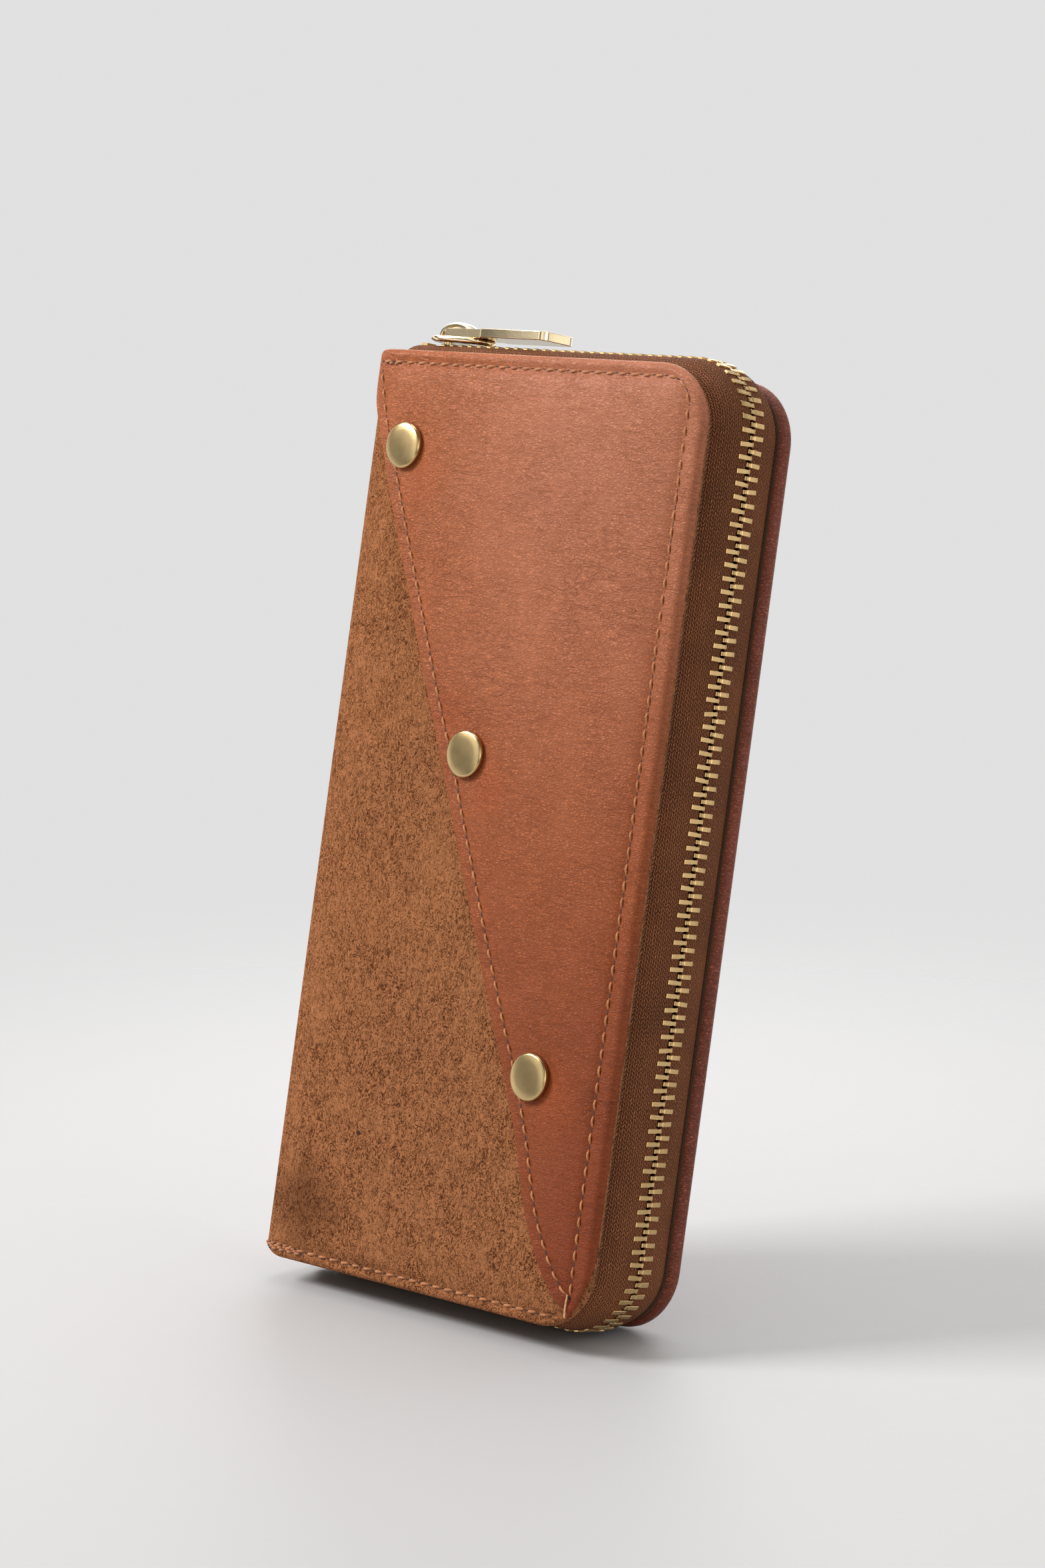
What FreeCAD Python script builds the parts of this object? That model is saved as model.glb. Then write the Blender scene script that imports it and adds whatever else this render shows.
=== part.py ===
"""Zip-around long wallet, as a parametric FreeCAD document (millimetres, +Z up).

The wallet stands on a short end. Its spine is on the -X side, its zip runs round the other three sides, its
front faces -Y. The origin is the bottom centre of its bounding box. Two padded covers hinge on the spine, a
coin pocket stands on the spine between them, and each cover carries half of the zip, its lining and its card
pockets. Every size is a cell of the sheet "sizes"; places are worked out from those cells.
"""
import FreeCAD, Part
import math
import os

from FreeCAD import Placement, Rotation, Vector
import Sketcher

doc = FreeCAD.newDocument("zip_around_wallet")
sheet = doc.addObject("Spreadsheet::Sheet", "sizes")

SIZES = [
    ("cover_wide", 92.0, "cover, from the spine's outer face to its free edge"),
    ("cover_high", 190.0, "cover, along the spine"),
    ("overall_thick", 28.0, "closed wallet, outer face to outer face"),
    ("corner_round", 13.0, "radius of the covers' corners"),
    ("top_bulge", 2.7, "how far the zip stands past the covers' top"),
    ("low_bulge", 1.0, "how far the zip stands past the covers' bottom"),
    ("side_bulge", 1.0, "how far the zip stands past the covers' free edge"),
    ("chain_extra", 1.5, "corner radius of the zip's outer face beyond the covers'"),
    ("flap_thick", 1.1, "leather flap on the front"),
    ("suede_thick", 0.8, "suede of the front and the spine"),
    ("back_leather", 1.2, "leather of the back"),
    ("board_thick", 0.8, "stiffener boards"),
    ("front_pad", 0.5, "padding behind the front board"),
    ("back_pad", 1.2, "padding behind the back board"),
    ("lining_thick", 0.4, "lining fabric"),
    ("board_inset", 1.0, "boards and linings, in from the cover's edge"),
    ("hem_wide", 5.0, "tape sewn inside a cover's edge"),
    ("hinge_gap", 0.3, "between the spine's lining and the covers"),
    ("flap_foot", 22.0, "where the flap's straight edge ends, in from the cover's free edge"),
    ("flap_foot_high", 32.0, "where the flap's straight edge ends, from the bottom"),
    ("flap_tip_turn", 50.0, "how far round the bottom corner the flap's tip reaches, degrees"),
    ("rivet_side", 13.2, "top rivet, from the spine's outer face"),
    ("rivet_drop", 20.0, "top rivet, from the cover's top"),
    ("rivet_free", 20.8, "bottom rivet, in from the cover's free edge"),
    ("rivet_step_down", 61.0, "from one rivet to the next, along Z"),
    ("cap_round", 4.8, "rivet cap radius"),
    ("cap_rise", 1.9, "rivet cap height"),
    ("cap_edge", 0.5, "rounding of a rivet cap's rim"),
    ("post_round", 1.6, "rivet post radius"),
    ("post_room", 0.05, "clearance round a rivet post"),
    ("burr_round", 4.0, "rivet's inner washer radius"),
    ("pocket_thick", 0.7, "card pocket sheet"),
    ("pocket_first", 8.0, "mouth of the first card pocket, in from the cover's free edge"),
    ("pocket_step", 12.0, "from one pocket's mouth to the next"),
    ("pocket_ends", 7.0, "card pockets, in from the covers' short ends"),
    ("tape_thick", 0.8, "zip tape"),
    ("tape_edge", 2.3, "zip tape's inner edge, from the middle plane"),
    ("tape_start", 2.5, "zip tape's ends, from the spine's outer face"),
    ("tooth_pitch", 2.65, "one tooth to the next in a row"),
    ("tooth_thick", 1.0, "tooth along the zip"),
    ("tooth_reach", 3.85, "tooth's tail, from the middle plane"),
    ("tooth_head", 0.7, "tooth's head, past the middle plane"),
    ("tooth_high", 2.0, "tooth, outer face to inner face"),
    ("slot_room", 0.05, "clearance of a tape in a tooth's slot, each side"),
    ("stop_long", 1.6, "zip stop along the zip"),
    ("stop_short", 1.2, "zip stop's inner end, from the middle plane"),
    ("slider_left", 4.4, "slider's nose, from the spine's outer face"),
    ("slider_long", 14.0, "slider along the zip"),
    ("slider_wide", 10.6, "slider across the zip"),
    ("slider_turn", 2.2, "slider's corners seen from above"),
    ("plate_thick", 1.2, "slider's two plates"),
    ("slider_room", 0.15, "clearance of tape and teeth in the slider"),
    ("nose_long", 2.4, "slider's wedge along the zip"),
    ("nose_wide", 3.0, "slider's wedge across the zip"),
    ("arch_start", 2.2, "slider's bridge, from its nose"),
    ("arch_span", 9.6, "slider's bridge along the zip"),
    ("arch_rise", 3.6, "slider's bridge above its plate"),
    ("arch_band", 1.4, "thickness of the bridge's bow"),
    ("arch_wide", 3.0, "slider's bridge across the zip"),
    ("arch_turn", 1.9, "outer corners of the bridge"),
    ("pivot_back", 4.5, "pull tab's pivot, from the slider's nose"),
    ("pivot_rise", 1.15, "pull tab's pivot above the slider's plate"),
    ("pin_round", 0.65, "radius of the pull tab's cross bar"),
    ("tab_long", 29.0, "pull tab, from its pivot"),
    ("tab_wide", 9.4, "pull tab"),
    ("tab_thick", 1.9, "pull tab"),
    ("tab_turn", 1.6, "pull tab's corners"),
    ("neck_long", 10.4, "pull tab's neck, which holds its eye"),
    ("neck_wide", 6.4, "pull tab's neck"),
    ("eye_long", 7.65, "eye of the pull tab, from its pivot"),
    ("eye_wide", 3.8, "eye of the pull tab, across the tab"),
    ("coin_free", 24.0, "coin pocket's mouth edge, in from the covers' free edge"),
    ("coin_ends", 14.5, "coin pocket, in from the covers' short ends"),
    ("coin_thick", 4.4, "coin pocket, outer face to outer face"),
    ("coin_wall", 0.8, "coin pocket's sheets"),
    ("coin_band", 3.0, "edging that closes the coin pocket on three sides"),
    ("coin_zip_back", 9.0, "coin zip's middle, in from the mouth edge"),
    ("coin_slot", 8.0, "slot in the coin pocket's front, which shows its zip"),
    ("coin_tape", 0.4, "coin zip tape"),
    ("coin_tape_edge", 1.2, "coin zip tape's inner edge, from the zip's middle"),
    ("coin_pitch", 1.65, "coin zip, one tooth to the next in a row"),
    ("coin_tooth_thick", 0.62, "coin zip tooth along the zip"),
    ("coin_reach", 1.9, "coin zip tooth's tail, from the zip's middle"),
    ("coin_head", 0.45, "coin zip tooth's head, past the zip's middle"),
    ("coin_high", 1.3, "coin zip tooth, outer face to inner face"),
    ("coin_nose", 0.8, "coin slider's nose, from the edging"),
    ("coin_scale", 0.62, "coin slider and its pull, as a share of the main ones"),
    ("gusset_thick", 0.5, "gusset fabric, measured along the spine"),
    ("gusset_free", 26.0, "gussets' end, in from the covers' free edge"),
    ("gusset_start", 3.0, "gusset's seam on the lining, in from the covers' short end"),
    ("gusset_deep", 13.0, "gusset's crease, in from the covers' short end"),
    ("gusset_room", 0.15, "gusset's crease, from the middle plane"),
]

for row, (alias, size, note) in enumerate(SIZES, start=1):
    sheet.set(f"A{row}", alias.replace("_", " "))
    sheet.set(f"B{row}", str(size))
    sheet.set(f"C{row}", note)
    sheet.setAlias(f"B{row}", alias)
doc.recompute()

# Places in the row frame, as expressions on the sheet's cells. The covers' box starts at the spine's outer
# face and at the covers' bottom, and the rivets and the zip make the whole box a little larger than it.
SPINE_X = "(-(sizes.cover_wide + sizes.side_bulge) / 2)"
LOW_Z = "sizes.low_bulge"
FRONT_Y = "((sizes.cap_rise - sizes.overall_thick) / 2)"
MID_Y = "(sizes.cap_rise / 2)"
BACK_Y = "((sizes.cap_rise + sizes.overall_thick) / 2)"
SPINE_THICK = "(sizes.suede_thick + sizes.board_thick + sizes.lining_thick)"
COVER_START = f"({SPINE_THICK} + sizes.hinge_gap)"
FRONT_STACK = ("(sizes.flap_thick + sizes.suede_thick + sizes.board_thick + sizes.front_pad"
               " + sizes.lining_thick)")
BACK_STACK = "(sizes.back_leather + sizes.board_thick + sizes.back_pad + sizes.lining_thick)"
FRONT_IN = f"({FRONT_Y} + {FRONT_STACK})"
BACK_IN = f"({BACK_Y} - {BACK_STACK})"
COVER_TOP = "(sizes.low_bulge + sizes.cover_high)"
CHAIN_TOP = f"({COVER_TOP} + sizes.top_bulge)"
CHAIN_TURN = "(sizes.corner_round + sizes.chain_extra)"
RIVET_STEP = "((sizes.cover_wide - sizes.rivet_side - sizes.rivet_free) / 2)"
INSIDE_X = f"({SPINE_X} + {SPINE_THICK})"
COIN_WIDE = f"(sizes.cover_wide - {SPINE_THICK} - sizes.coin_free)"

nodes = []


def number(expression):
    """The value of an expression on the sheet, in millimetres or degrees."""
    found = sheet.evalExpression(str(expression))
    return float(getattr(found, "Value", found))


def bind(thing, prop, expression):
    """Binds a property to an expression."""
    thing.setExpression(prop, str(expression))


def place(thing, x="0", y="0", z="0"):
    """Binds an object's place to three expressions."""
    for letter, expression in (("x", x), ("y", y), ("z", z)):
        bind(thing, f".Placement.Base.{letter}", expression)


def new_body(label, keep=True):
    """A PartDesign body, kept as a node unless it is only a pattern's master."""
    made = doc.addObject("PartDesign::Body", label)
    made.Label = label
    if keep:
        nodes.append(made)
    return made


def new_sketch(body, name, role="XZ_Plane"):
    """A sketch on one of the body's own origin planes."""
    support = next(f for f in body.Origin.OriginFeatures if f.Role == role)
    made = body.newObject("Sketcher::SketchObject", f"{body.Name}_{name}")
    made.AttachmentSupport = [(support, "")]
    made.MapMode = "FlatFace"
    return made


def dimension(sketch, kind, ends, expression, name):
    """A named driving dimension, bound to an expression."""
    index = sketch.addConstraint(Sketcher.Constraint(kind, *ends, number(expression)))
    sketch.renameConstraint(index, name)
    bind(sketch, f"Constraints.{name}", expression)


def offset(sketch, axis, geometry, point, expression, name):
    """The distance of a point from the sketch's origin along x or z, on the side where it lies."""
    kind = "DistanceX" if axis == "x" else "DistanceY"
    if number(expression) < 0:
        dimension(sketch, kind, (geometry, point, -1, 1), f"-({expression})", name)
    else:
        dimension(sketch, kind, (-1, 1, geometry, point), expression, name)


def outline(sketch, sides, rounds, tag="side"):
    """A closed outline of sides that are level or upright in turn, each at an expression's distance from the
    sketch's origin, as (axis, expression). rounds gives the corner after each side a radius, or None."""
    count = len(sides)
    at = [number(expression) for _, expression in sides]
    corners = []
    for i in range(count):
        j = (i + 1) % count
        x, z = (at[i], at[j]) if sides[i][0] == "x" else (at[j], at[i])
        corners.append(Vector(x, z, 0))
    lines = []
    for i in range(count):
        start, end = corners[i - 1], corners[i]
        way = (end - start).normalize()
        trim_start = number(rounds[i - 1]) if rounds[i - 1] else 0
        trim_end = number(rounds[i]) if rounds[i] else 0
        lines.append(sketch.addGeometry(Part.LineSegment(start + way * trim_start, end - way * trim_end)))
        lie = "Vertical" if sides[i][0] == "x" else "Horizontal"
        sketch.addConstraint(Sketcher.Constraint(lie, lines[i]))
    for i in range(count):
        j = (i + 1) % count
        if not rounds[i]:
            sketch.addConstraint(Sketcher.Constraint("Coincident", lines[i], 2, lines[j], 1))
            continue
        round_corner(sketch, corners[i - 1], corners[i], corners[j], lines[i], lines[j], rounds[i],
                     f"{tag}_round_{i}")
    for i, (axis, expression) in enumerate(sides):
        if expression == "0":
            centre_line = -2 if axis == "x" else -1
            sketch.addConstraint(Sketcher.Constraint("PointOnObject", lines[i], 1, centre_line))
        else:
            offset(sketch, axis, lines[i], 1, expression, f"{tag}_{i}")


def arc_between(sketch, centre, start, end, left):
    """An arc from start to end that turns left or right: its number, and its point numbers at both ends."""
    first, last = (start, end) if left else (end, start)
    angles = [math.atan2(spot.y - centre.y, spot.x - centre.x) for spot in (first, last)]
    if angles[1] < angles[0]:
        angles[1] += 2 * math.pi
    circle = Part.Circle(centre, Vector(0, 0, 1), start.distanceToPoint(centre))
    made = sketch.addGeometry(Part.ArcOfCircle(circle, *angles))
    return (made, 1, 2) if left else (made, 2, 1)


def round_corner(sketch, before, corner, after, line_in, line_out, radius, name):
    """An arc tangent to the two lines that would meet at corner."""
    size = number(radius)
    way_in, way_out = (corner - before).normalize(), (after - corner).normalize()
    start, end = corner - way_in * size, corner + way_out * size
    left = way_in.cross(way_out).z > 0
    arc, at_start, at_end = arc_between(sketch, start + way_out * size, start, end, left)
    sketch.addConstraint(Sketcher.Constraint("Tangent", line_in, 2, arc, at_start))
    sketch.addConstraint(Sketcher.Constraint("Tangent", arc, at_end, line_out, 1))
    dimension(sketch, "Radius", (arc,), radius, name)


def pad(body, sketch, length, reverse=True, both_ways=False):
    """A pad; on the XZ plane reverse grows it towards +Y."""
    made = body.newObject("PartDesign::Pad", f"{sketch.Name}_pad")
    made.Profile = sketch
    made.Reversed = reverse
    made.Midplane = both_ways
    bind(made, "Length", length)
    return made


def cut_through(body, sketch):
    """A pocket through the whole body, both ways."""
    made = body.newObject("PartDesign::Pocket", f"{sketch.Name}_cut")
    made.Profile = sketch
    made.Type = "ThroughAll"
    made.Midplane = True
    return made


def disc(sketch, radius, x="0", z="0", name="disc"):
    """A circle with its place and radius bound."""
    centre = Vector(number(x), number(z), 0)
    made = sketch.addGeometry(Part.Circle(centre, Vector(0, 0, 1), number(radius)))
    if (x, z) == ("0", "0"):
        sketch.addConstraint(Sketcher.Constraint("Coincident", made, 3, -1, 1))
    else:
        offset(sketch, "x", made, 3, x, f"{name}_x")
        offset(sketch, "z", made, 3, z, f"{name}_z")
    dimension(sketch, "Radius", (made,), radius, f"{name}_radius")


def polygon(sketch, corners):
    """A closed polygon whose corners are pairs of expressions."""
    spots = [Vector(number(x), number(z), 0) for x, z in corners]
    count = len(spots)
    sides = [sketch.addGeometry(Part.LineSegment(spots[i], spots[(i + 1) % count])) for i in range(count)]
    for i, (x, z) in enumerate(corners):
        sketch.addConstraint(Sketcher.Constraint("Coincident", sides[i - 1], 2, sides[i], 1))
        offset(sketch, "x", sides[i], 1, x, f"corner_{i}_x")
        offset(sketch, "z", sides[i], 1, z, f"corner_{i}_z")


def cover_plate(label, layer_y, thick, inset="0", start=COVER_START):
    """A flat sheet of a cover, square at the spine and round at its free corners, inset from its edges."""
    body = new_body(label)
    sketch = new_sketch(body, "outline")
    wide = f"(sizes.cover_wide - {start} - {inset})"
    high = f"(sizes.cover_high - 2 * {inset})"
    turn = f"(sizes.corner_round - {inset})"
    outline(sketch, [("z", "0"), ("x", wide), ("z", high), ("x", "0")], [turn, turn, None, None])
    pad(body, sketch, thick)
    place(body, f"{SPINE_X} + {start}", layer_y, f"{LOW_Z} + {inset}")
    return body


def rectangle_plate(label, x, y, z, wide, thick, high, keep=True):
    """A flat rectangular sheet that faces Y."""
    body = new_body(label, keep)
    sketch = new_sketch(body, "outline")
    outline(sketch, [("z", "0"), ("x", wide), ("z", high), ("x", "0")], [None] * 4)
    pad(body, sketch, thick)
    place(body, x, y, z)
    return body


def upright_plate(label, x, y, z, thick, deep, high):
    """A flat rectangular sheet that faces X."""
    body = new_body(label)
    sketch = new_sketch(body, "outline", "YZ_Plane")
    outline(sketch, [("z", "0"), ("x", deep), ("z", high), ("x", "0")], [None] * 4)
    pad(body, sketch, thick, reverse=False)
    place(body, x, y, z)
    return body


def rivet_holes(body, radius, inset="0", start=COVER_START):
    """Three holes for the rivets through a cover's sheet."""
    sketch = new_sketch(body, "holes")
    for i in range(3):
        side = f"(sizes.rivet_side + {i} * {RIVET_STEP} - {start})"
        up = f"(sizes.cover_high - sizes.rivet_drop - {i} * sizes.rivet_step_down - {inset})"
        disc(sketch, radius, side, up, f"hole_{i}")
    cut_through(body, sketch)


def repeat(label, master, placements):
    """A node of separate solids, each a copy of the master body's shape."""
    made = doc.addObject("Part::Feature", label)
    made.Label = label
    copies = []
    for where in placements:
        copy = master.Shape.copy()
        copy.Placement = where.multiply(copy.Placement)
        copies.append(copy)
    made.Shape = Part.makeCompound(copies)
    nodes.append(made)
    return made


def make_flap():
    """The leather flap: the cover's outline, cut off by a straight edge that curves into a tip below."""
    body = new_body("front_leather_flap")
    sketch = new_sketch(body, "outline")
    wide, high = number(f"sizes.cover_wide - {COVER_START}"), number("sizes.cover_high")
    turn, tip_turn = number("sizes.corner_round"), math.radians(number("sizes.flap_tip_turn"))
    foot_x = f"sizes.cover_wide - sizes.flap_foot - {COVER_START}"
    foot = Vector(number(foot_x), number("sizes.flap_foot_high"), 0)
    top_left, top_in = Vector(0, high, 0), Vector(wide - turn, high, 0)
    centre_top, centre_low = Vector(wide - turn, high - turn, 0), Vector(wide - turn, turn, 0)
    tip = centre_low + Vector(math.cos(tip_turn), -math.sin(tip_turn), 0) * turn
    up, out = Vector(0, 0, 1), Vector(1, 0, 0)
    top = sketch.addGeometry(Part.LineSegment(top_left, top_in))
    corner = sketch.addGeometry(Part.ArcOfCircle(Part.Circle(centre_top, up, turn), 0, math.pi / 2))
    side = sketch.addGeometry(Part.LineSegment(centre_top + out * turn, centre_low + out * turn))
    low = sketch.addGeometry(Part.ArcOfCircle(Part.Circle(centre_low, up, turn), -tip_turn, 0))
    # The arc that is tangent to the straight edge at its foot and ends at the tip.
    edge_way = (foot - top_left).normalize()
    across, chord = Vector(-edge_way.y, edge_way.x, 0), tip - foot
    swing = chord.dot(chord) / (2 * chord.dot(across))
    curve, at_tip, at_foot = arc_between(sketch, foot + across * swing, tip, foot, swing < 0)
    edge = sketch.addGeometry(Part.LineSegment(foot, top_left))
    for constraint in (
        ("Horizontal", top), ("Vertical", side),
        ("Tangent", top, 2, corner, 2), ("Tangent", corner, 1, side, 1),
        ("Tangent", side, 2, low, 2), ("Coincident", low, 1, curve, at_tip),
        ("Tangent", curve, at_foot, edge, 1), ("Coincident", edge, 2, top, 1),
        ("PointOnObject", top, 1, -2), ("Equal", corner, low),
    ):
        sketch.addConstraint(Sketcher.Constraint(*constraint))
    wide_from = f"sizes.cover_wide - {COVER_START}"
    dimension(sketch, "DistanceX", (-1, 1, side, 1), wide_from, "wide")
    dimension(sketch, "DistanceY", (-1, 1, top, 1), "sizes.cover_high", "high")
    dimension(sketch, "Radius", (corner,), "sizes.corner_round", "turn")
    dimension(sketch, "DistanceY", (-1, 1, low, 3), "sizes.corner_round", "low_turn")
    dimension(sketch, "DistanceX", (-1, 1, edge, 1), foot_x, "foot")
    dimension(sketch, "DistanceY", (-1, 1, edge, 1), "sizes.flap_foot_high", "foot_high")
    tip_side = f"{wide_from} - sizes.corner_round * (1 - cos(sizes.flap_tip_turn * 1 deg))"
    dimension(sketch, "DistanceX", (-1, 1, low, 1), tip_side, "tip_side")
    pad(body, sketch, "sizes.flap_thick")
    place(body, f"{SPINE_X} + {COVER_START}", FRONT_Y, LOW_Z)
    rivet_holes(body, "sizes.post_round + sizes.post_room")


def make_rivets():
    """Three rivets: a cap outside, and a post with its inner washer behind the board."""
    cap = new_body("rivet_cap_pattern", keep=False)
    sketch = new_sketch(cap, "round", "XY_Plane")
    outline(sketch, [("z", "0"), ("x", "sizes.cap_round"), ("z", "sizes.cap_rise"), ("x", "0")],
            [None, "sizes.cap_edge", None, None])
    turned = cap.newObject("PartDesign::Revolution", "rivet_cap_turned")
    turned.Profile = sketch
    turned.ReferenceAxis = (sketch, ["V_Axis"])
    turned.Angle = 360
    post = new_body("rivet_post_pattern", keep=False)
    shank = new_sketch(post, "shank")
    disc(shank, "sizes.post_round")
    pad(post, shank, f"{FRONT_STACK} - sizes.lining_thick")
    washer = new_sketch(post, "washer")
    disc(washer, "sizes.burr_round")
    bind(washer, ".AttachmentOffset.Base.z", f"-({FRONT_STACK} - sizes.lining_thick - sizes.front_pad)")
    pad(post, washer, "sizes.front_pad")
    doc.recompute()
    face, spine, low = number(FRONT_Y), number(SPINE_X), number(LOW_Z)
    spots = []
    for i in range(3):
        x = spine + number("sizes.rivet_side") + i * number(RIVET_STEP)
        z = low + number("sizes.cover_high - sizes.rivet_drop") - i * number("sizes.rivet_step_down")
        spots.append(Vector(x, face, z))
    outward = Rotation(Vector(0, 0, 1), 180)
    repeat("rivet_caps", cap, [Placement(spot, outward) for spot in spots])
    repeat("rivet_posts", post, [Placement(spot, Rotation()) for spot in spots])


def make_front_cover():
    """The front cover's sheets from the outside in, and its card pockets."""
    make_flap()
    hole = "sizes.post_round + sizes.post_room"
    layer = f"{FRONT_Y} + sizes.flap_thick"
    rivet_holes(cover_plate("front_suede_panel", layer, "sizes.suede_thick"), hole)
    layer += " + sizes.suede_thick"
    board = cover_plate("front_board", layer, "sizes.board_thick", "sizes.board_inset")
    rivet_holes(board, hole, "sizes.board_inset")
    layer += " + sizes.board_thick"
    pad_inset = "(sizes.hem_wide + sizes.board_inset)"
    padding = cover_plate("front_padding", layer, "sizes.front_pad", pad_inset)
    rivet_holes(padding, "sizes.burr_round + sizes.post_room", pad_inset)
    cover_plate("front_lining", layer + " + sizes.front_pad", "sizes.lining_thick", "sizes.board_inset")
    make_rivets()


def make_back_cover():
    """The back cover's sheets from the outside in."""
    layer = f"{BACK_Y} - sizes.back_leather"
    cover_plate("back_leather_panel", layer, "sizes.back_leather")
    layer += " - sizes.board_thick"
    cover_plate("back_board", layer, "sizes.board_thick", "sizes.board_inset")
    layer += " - sizes.back_pad"
    cover_plate("back_padding", layer, "sizes.back_pad", "(sizes.hem_wide + sizes.board_inset)")
    cover_plate("back_lining", layer + " - sizes.lining_thick", "sizes.lining_thick", "sizes.board_inset")


def make_card_pockets():
    """Four stepped card pockets on each lining, one sheet each, with their mouths towards the zip."""
    for i in range(4):
        mouth = f"(sizes.cover_wide - sizes.pocket_first - {i} * sizes.pocket_step)"
        wide = f"({mouth} - {COVER_START} - sizes.board_inset)"
        x = f"{SPINE_X} + {COVER_START} + sizes.board_inset"
        z = f"{LOW_Z} + sizes.pocket_ends"
        high = "(sizes.cover_high - 2 * sizes.pocket_ends)"
        front, back = f"{FRONT_IN} + {i} * sizes.pocket_thick", f"{BACK_IN} - {i + 1} * sizes.pocket_thick"
        rectangle_plate(f"front_card_pocket_{i + 1}", x, front, z, wide, "sizes.pocket_thick", high)
        rectangle_plate(f"back_card_pocket_{i + 1}", x, back, z, wide, "sizes.pocket_thick", high)


def make_spine():
    """The spine's suede, board and lining, which the covers hinge on."""
    upright_plate("spine_suede", SPINE_X, FRONT_Y, LOW_Z, "sizes.suede_thick", "sizes.overall_thick",
                  "sizes.cover_high")
    inset = "sizes.board_inset"
    near, low = f"{FRONT_Y} + {inset}", f"{LOW_Z} + {inset}"
    wide, tall = f"sizes.overall_thick - 2 * {inset}", f"sizes.cover_high - 2 * {inset}"
    upright_plate("spine_board", f"{SPINE_X} + sizes.suede_thick", near, low, "sizes.board_thick", wide,
                  tall)
    upright_plate("spine_lining", f"{INSIDE_X} - sizes.lining_thick", near, low, "sizes.lining_thick", wide,
                  tall)


def make_coin_pocket():
    """A flat pocket on the spine: two sheets, an edging on three sides, and a slot for its zip."""
    front = f"({MID_Y} - sizes.coin_thick / 2)"
    back = f"({MID_Y} + sizes.coin_thick / 2 - sizes.coin_wall)"
    low, high = f"({LOW_Z} + sizes.coin_ends)", "(sizes.cover_high - 2 * sizes.coin_ends)"
    slot_start = f"({COIN_WIDE} - sizes.coin_zip_back - sizes.coin_slot / 2)"
    strip = "(sizes.coin_zip_back - sizes.coin_slot / 2)"
    rectangle_plate("coin_pocket_front", INSIDE_X, front, low, slot_start, "sizes.coin_wall", high)
    rectangle_plate("coin_pocket_back", INSIDE_X, back, low, COIN_WIDE, "sizes.coin_wall", high)
    rectangle_plate("coin_pocket_mouth_strip", f"{INSIDE_X} + {COIN_WIDE} - {strip}", front, low, strip,
                    "sizes.coin_wall", high)
    body = new_body("coin_pocket_edging")
    deep = "sizes.coin_thick - 2 * sizes.coin_wall"
    sketch = new_sketch(body, "outline")
    band = "sizes.coin_band"
    outline(sketch, [("z", "0"), ("x", COIN_WIDE), ("z", high), ("x", "0"), ("z", f"{high} - {band}"),
                     ("x", f"{COIN_WIDE} - {band}"), ("z", band), ("x", "0")], [None] * 8)
    pad(body, sketch, deep)
    place(body, INSIDE_X, f"{front} + sizes.coin_wall", low)


class Chain:
    """The sizes of a zip's chain, as expressions: its tape and its teeth."""

    def __init__(self, tape, edge, pitch, thick, reach, head, high):
        self.tape, self.edge, self.pitch, self.thick = tape, edge, pitch, thick
        self.reach, self.head, self.high = reach, head, high


MAIN_CHAIN = Chain("sizes.tape_thick", "sizes.tape_edge", "sizes.tooth_pitch", "sizes.tooth_thick",
                   "sizes.tooth_reach", "sizes.tooth_head", "sizes.tooth_high")
COIN_CHAIN = Chain("sizes.coin_tape", "sizes.coin_tape_edge", "sizes.coin_pitch", "sizes.coin_tooth_thick",
                   "sizes.coin_reach", "sizes.coin_head", "sizes.coin_high")
OTHER_ROW = Placement(Vector(0, 0, 0), Rotation(Vector(0, 0, 1), 180))


def tooth_master(label, chain, thick, head):
    """One tooth: the zip runs along X, its middle plane is Y 0 and its outer face Z 0. The tail, towards -Y,
    holds the tape's edge in a slot."""
    body = new_body(label, keep=False)
    sketch = new_sketch(body, "outline", "YZ_Plane")
    tail, slot = f"-{chain.reach}", f"({chain.tape} / 2 + sizes.slot_room)"
    bottom = f"(sizes.slot_room - {chain.edge})"
    outline(sketch, [("z", f"-{chain.high}"), ("x", head), ("z", "0"), ("x", tail),
                     ("z", f"({slot} - {chain.high} / 2)"),
                     ("x", bottom), ("z", f"(-{slot} - {chain.high} / 2)"), ("x", tail)], [None] * 8)
    pad(body, sketch, thick, both_ways=True)
    return body


def zip_tape(label, hem_y, hem_thick, wall_y, wall_long):
    """Half of the main zip's tape: a wall round three sides and a hem sewn inside the cover's edge."""
    body = new_body(label)
    sunk = "((sizes.tooth_high - sizes.tape_thick) / 2)"
    side, top, low = (f"(sizes.{edge}_bulge - {sunk})" for edge in ("side", "top", "low"))
    wide = f"(sizes.cover_wide - sizes.tape_start + {side})"
    high = f"(sizes.cover_high + {top} + {low})"
    turn, tape, hem = f"({CHAIN_TURN} - {sunk})", "sizes.tape_thick", "sizes.hem_wide"
    base_y = hem_y if number(hem_y) < number(wall_y) else wall_y
    bands = [("wall", wall_y, wall_long, tape, tape, tape, f"({turn} - {tape})"),
             ("hem", hem_y, hem_thick, f"({hem} + {side})", f"({hem} + {top})", f"({hem} + {low})",
              f"(sizes.corner_round - {hem})")]
    for name, start, long, in_side, in_top, in_low, in_turn in bands:
        outer = new_sketch(body, name)
        outline(outer, [("z", "0"), ("x", wide), ("z", high), ("x", "0")], [turn, turn, None, None])
        bind(outer, ".AttachmentOffset.Base.z", f"-({start} - {base_y})")
        pad(body, outer, long)
        inner = new_sketch(body, f"{name}_inside")
        outline(inner, [("z", in_low), ("x", f"({wide} - {in_side})"), ("z", f"({high} - {in_top})"),
                        ("x", "0")],
                [in_turn, in_turn, None, None])
        cut_through(body, inner)
    place(body, f"{SPINE_X} + sizes.tape_start", base_y, f"{LOW_Z} - {low}")


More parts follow.
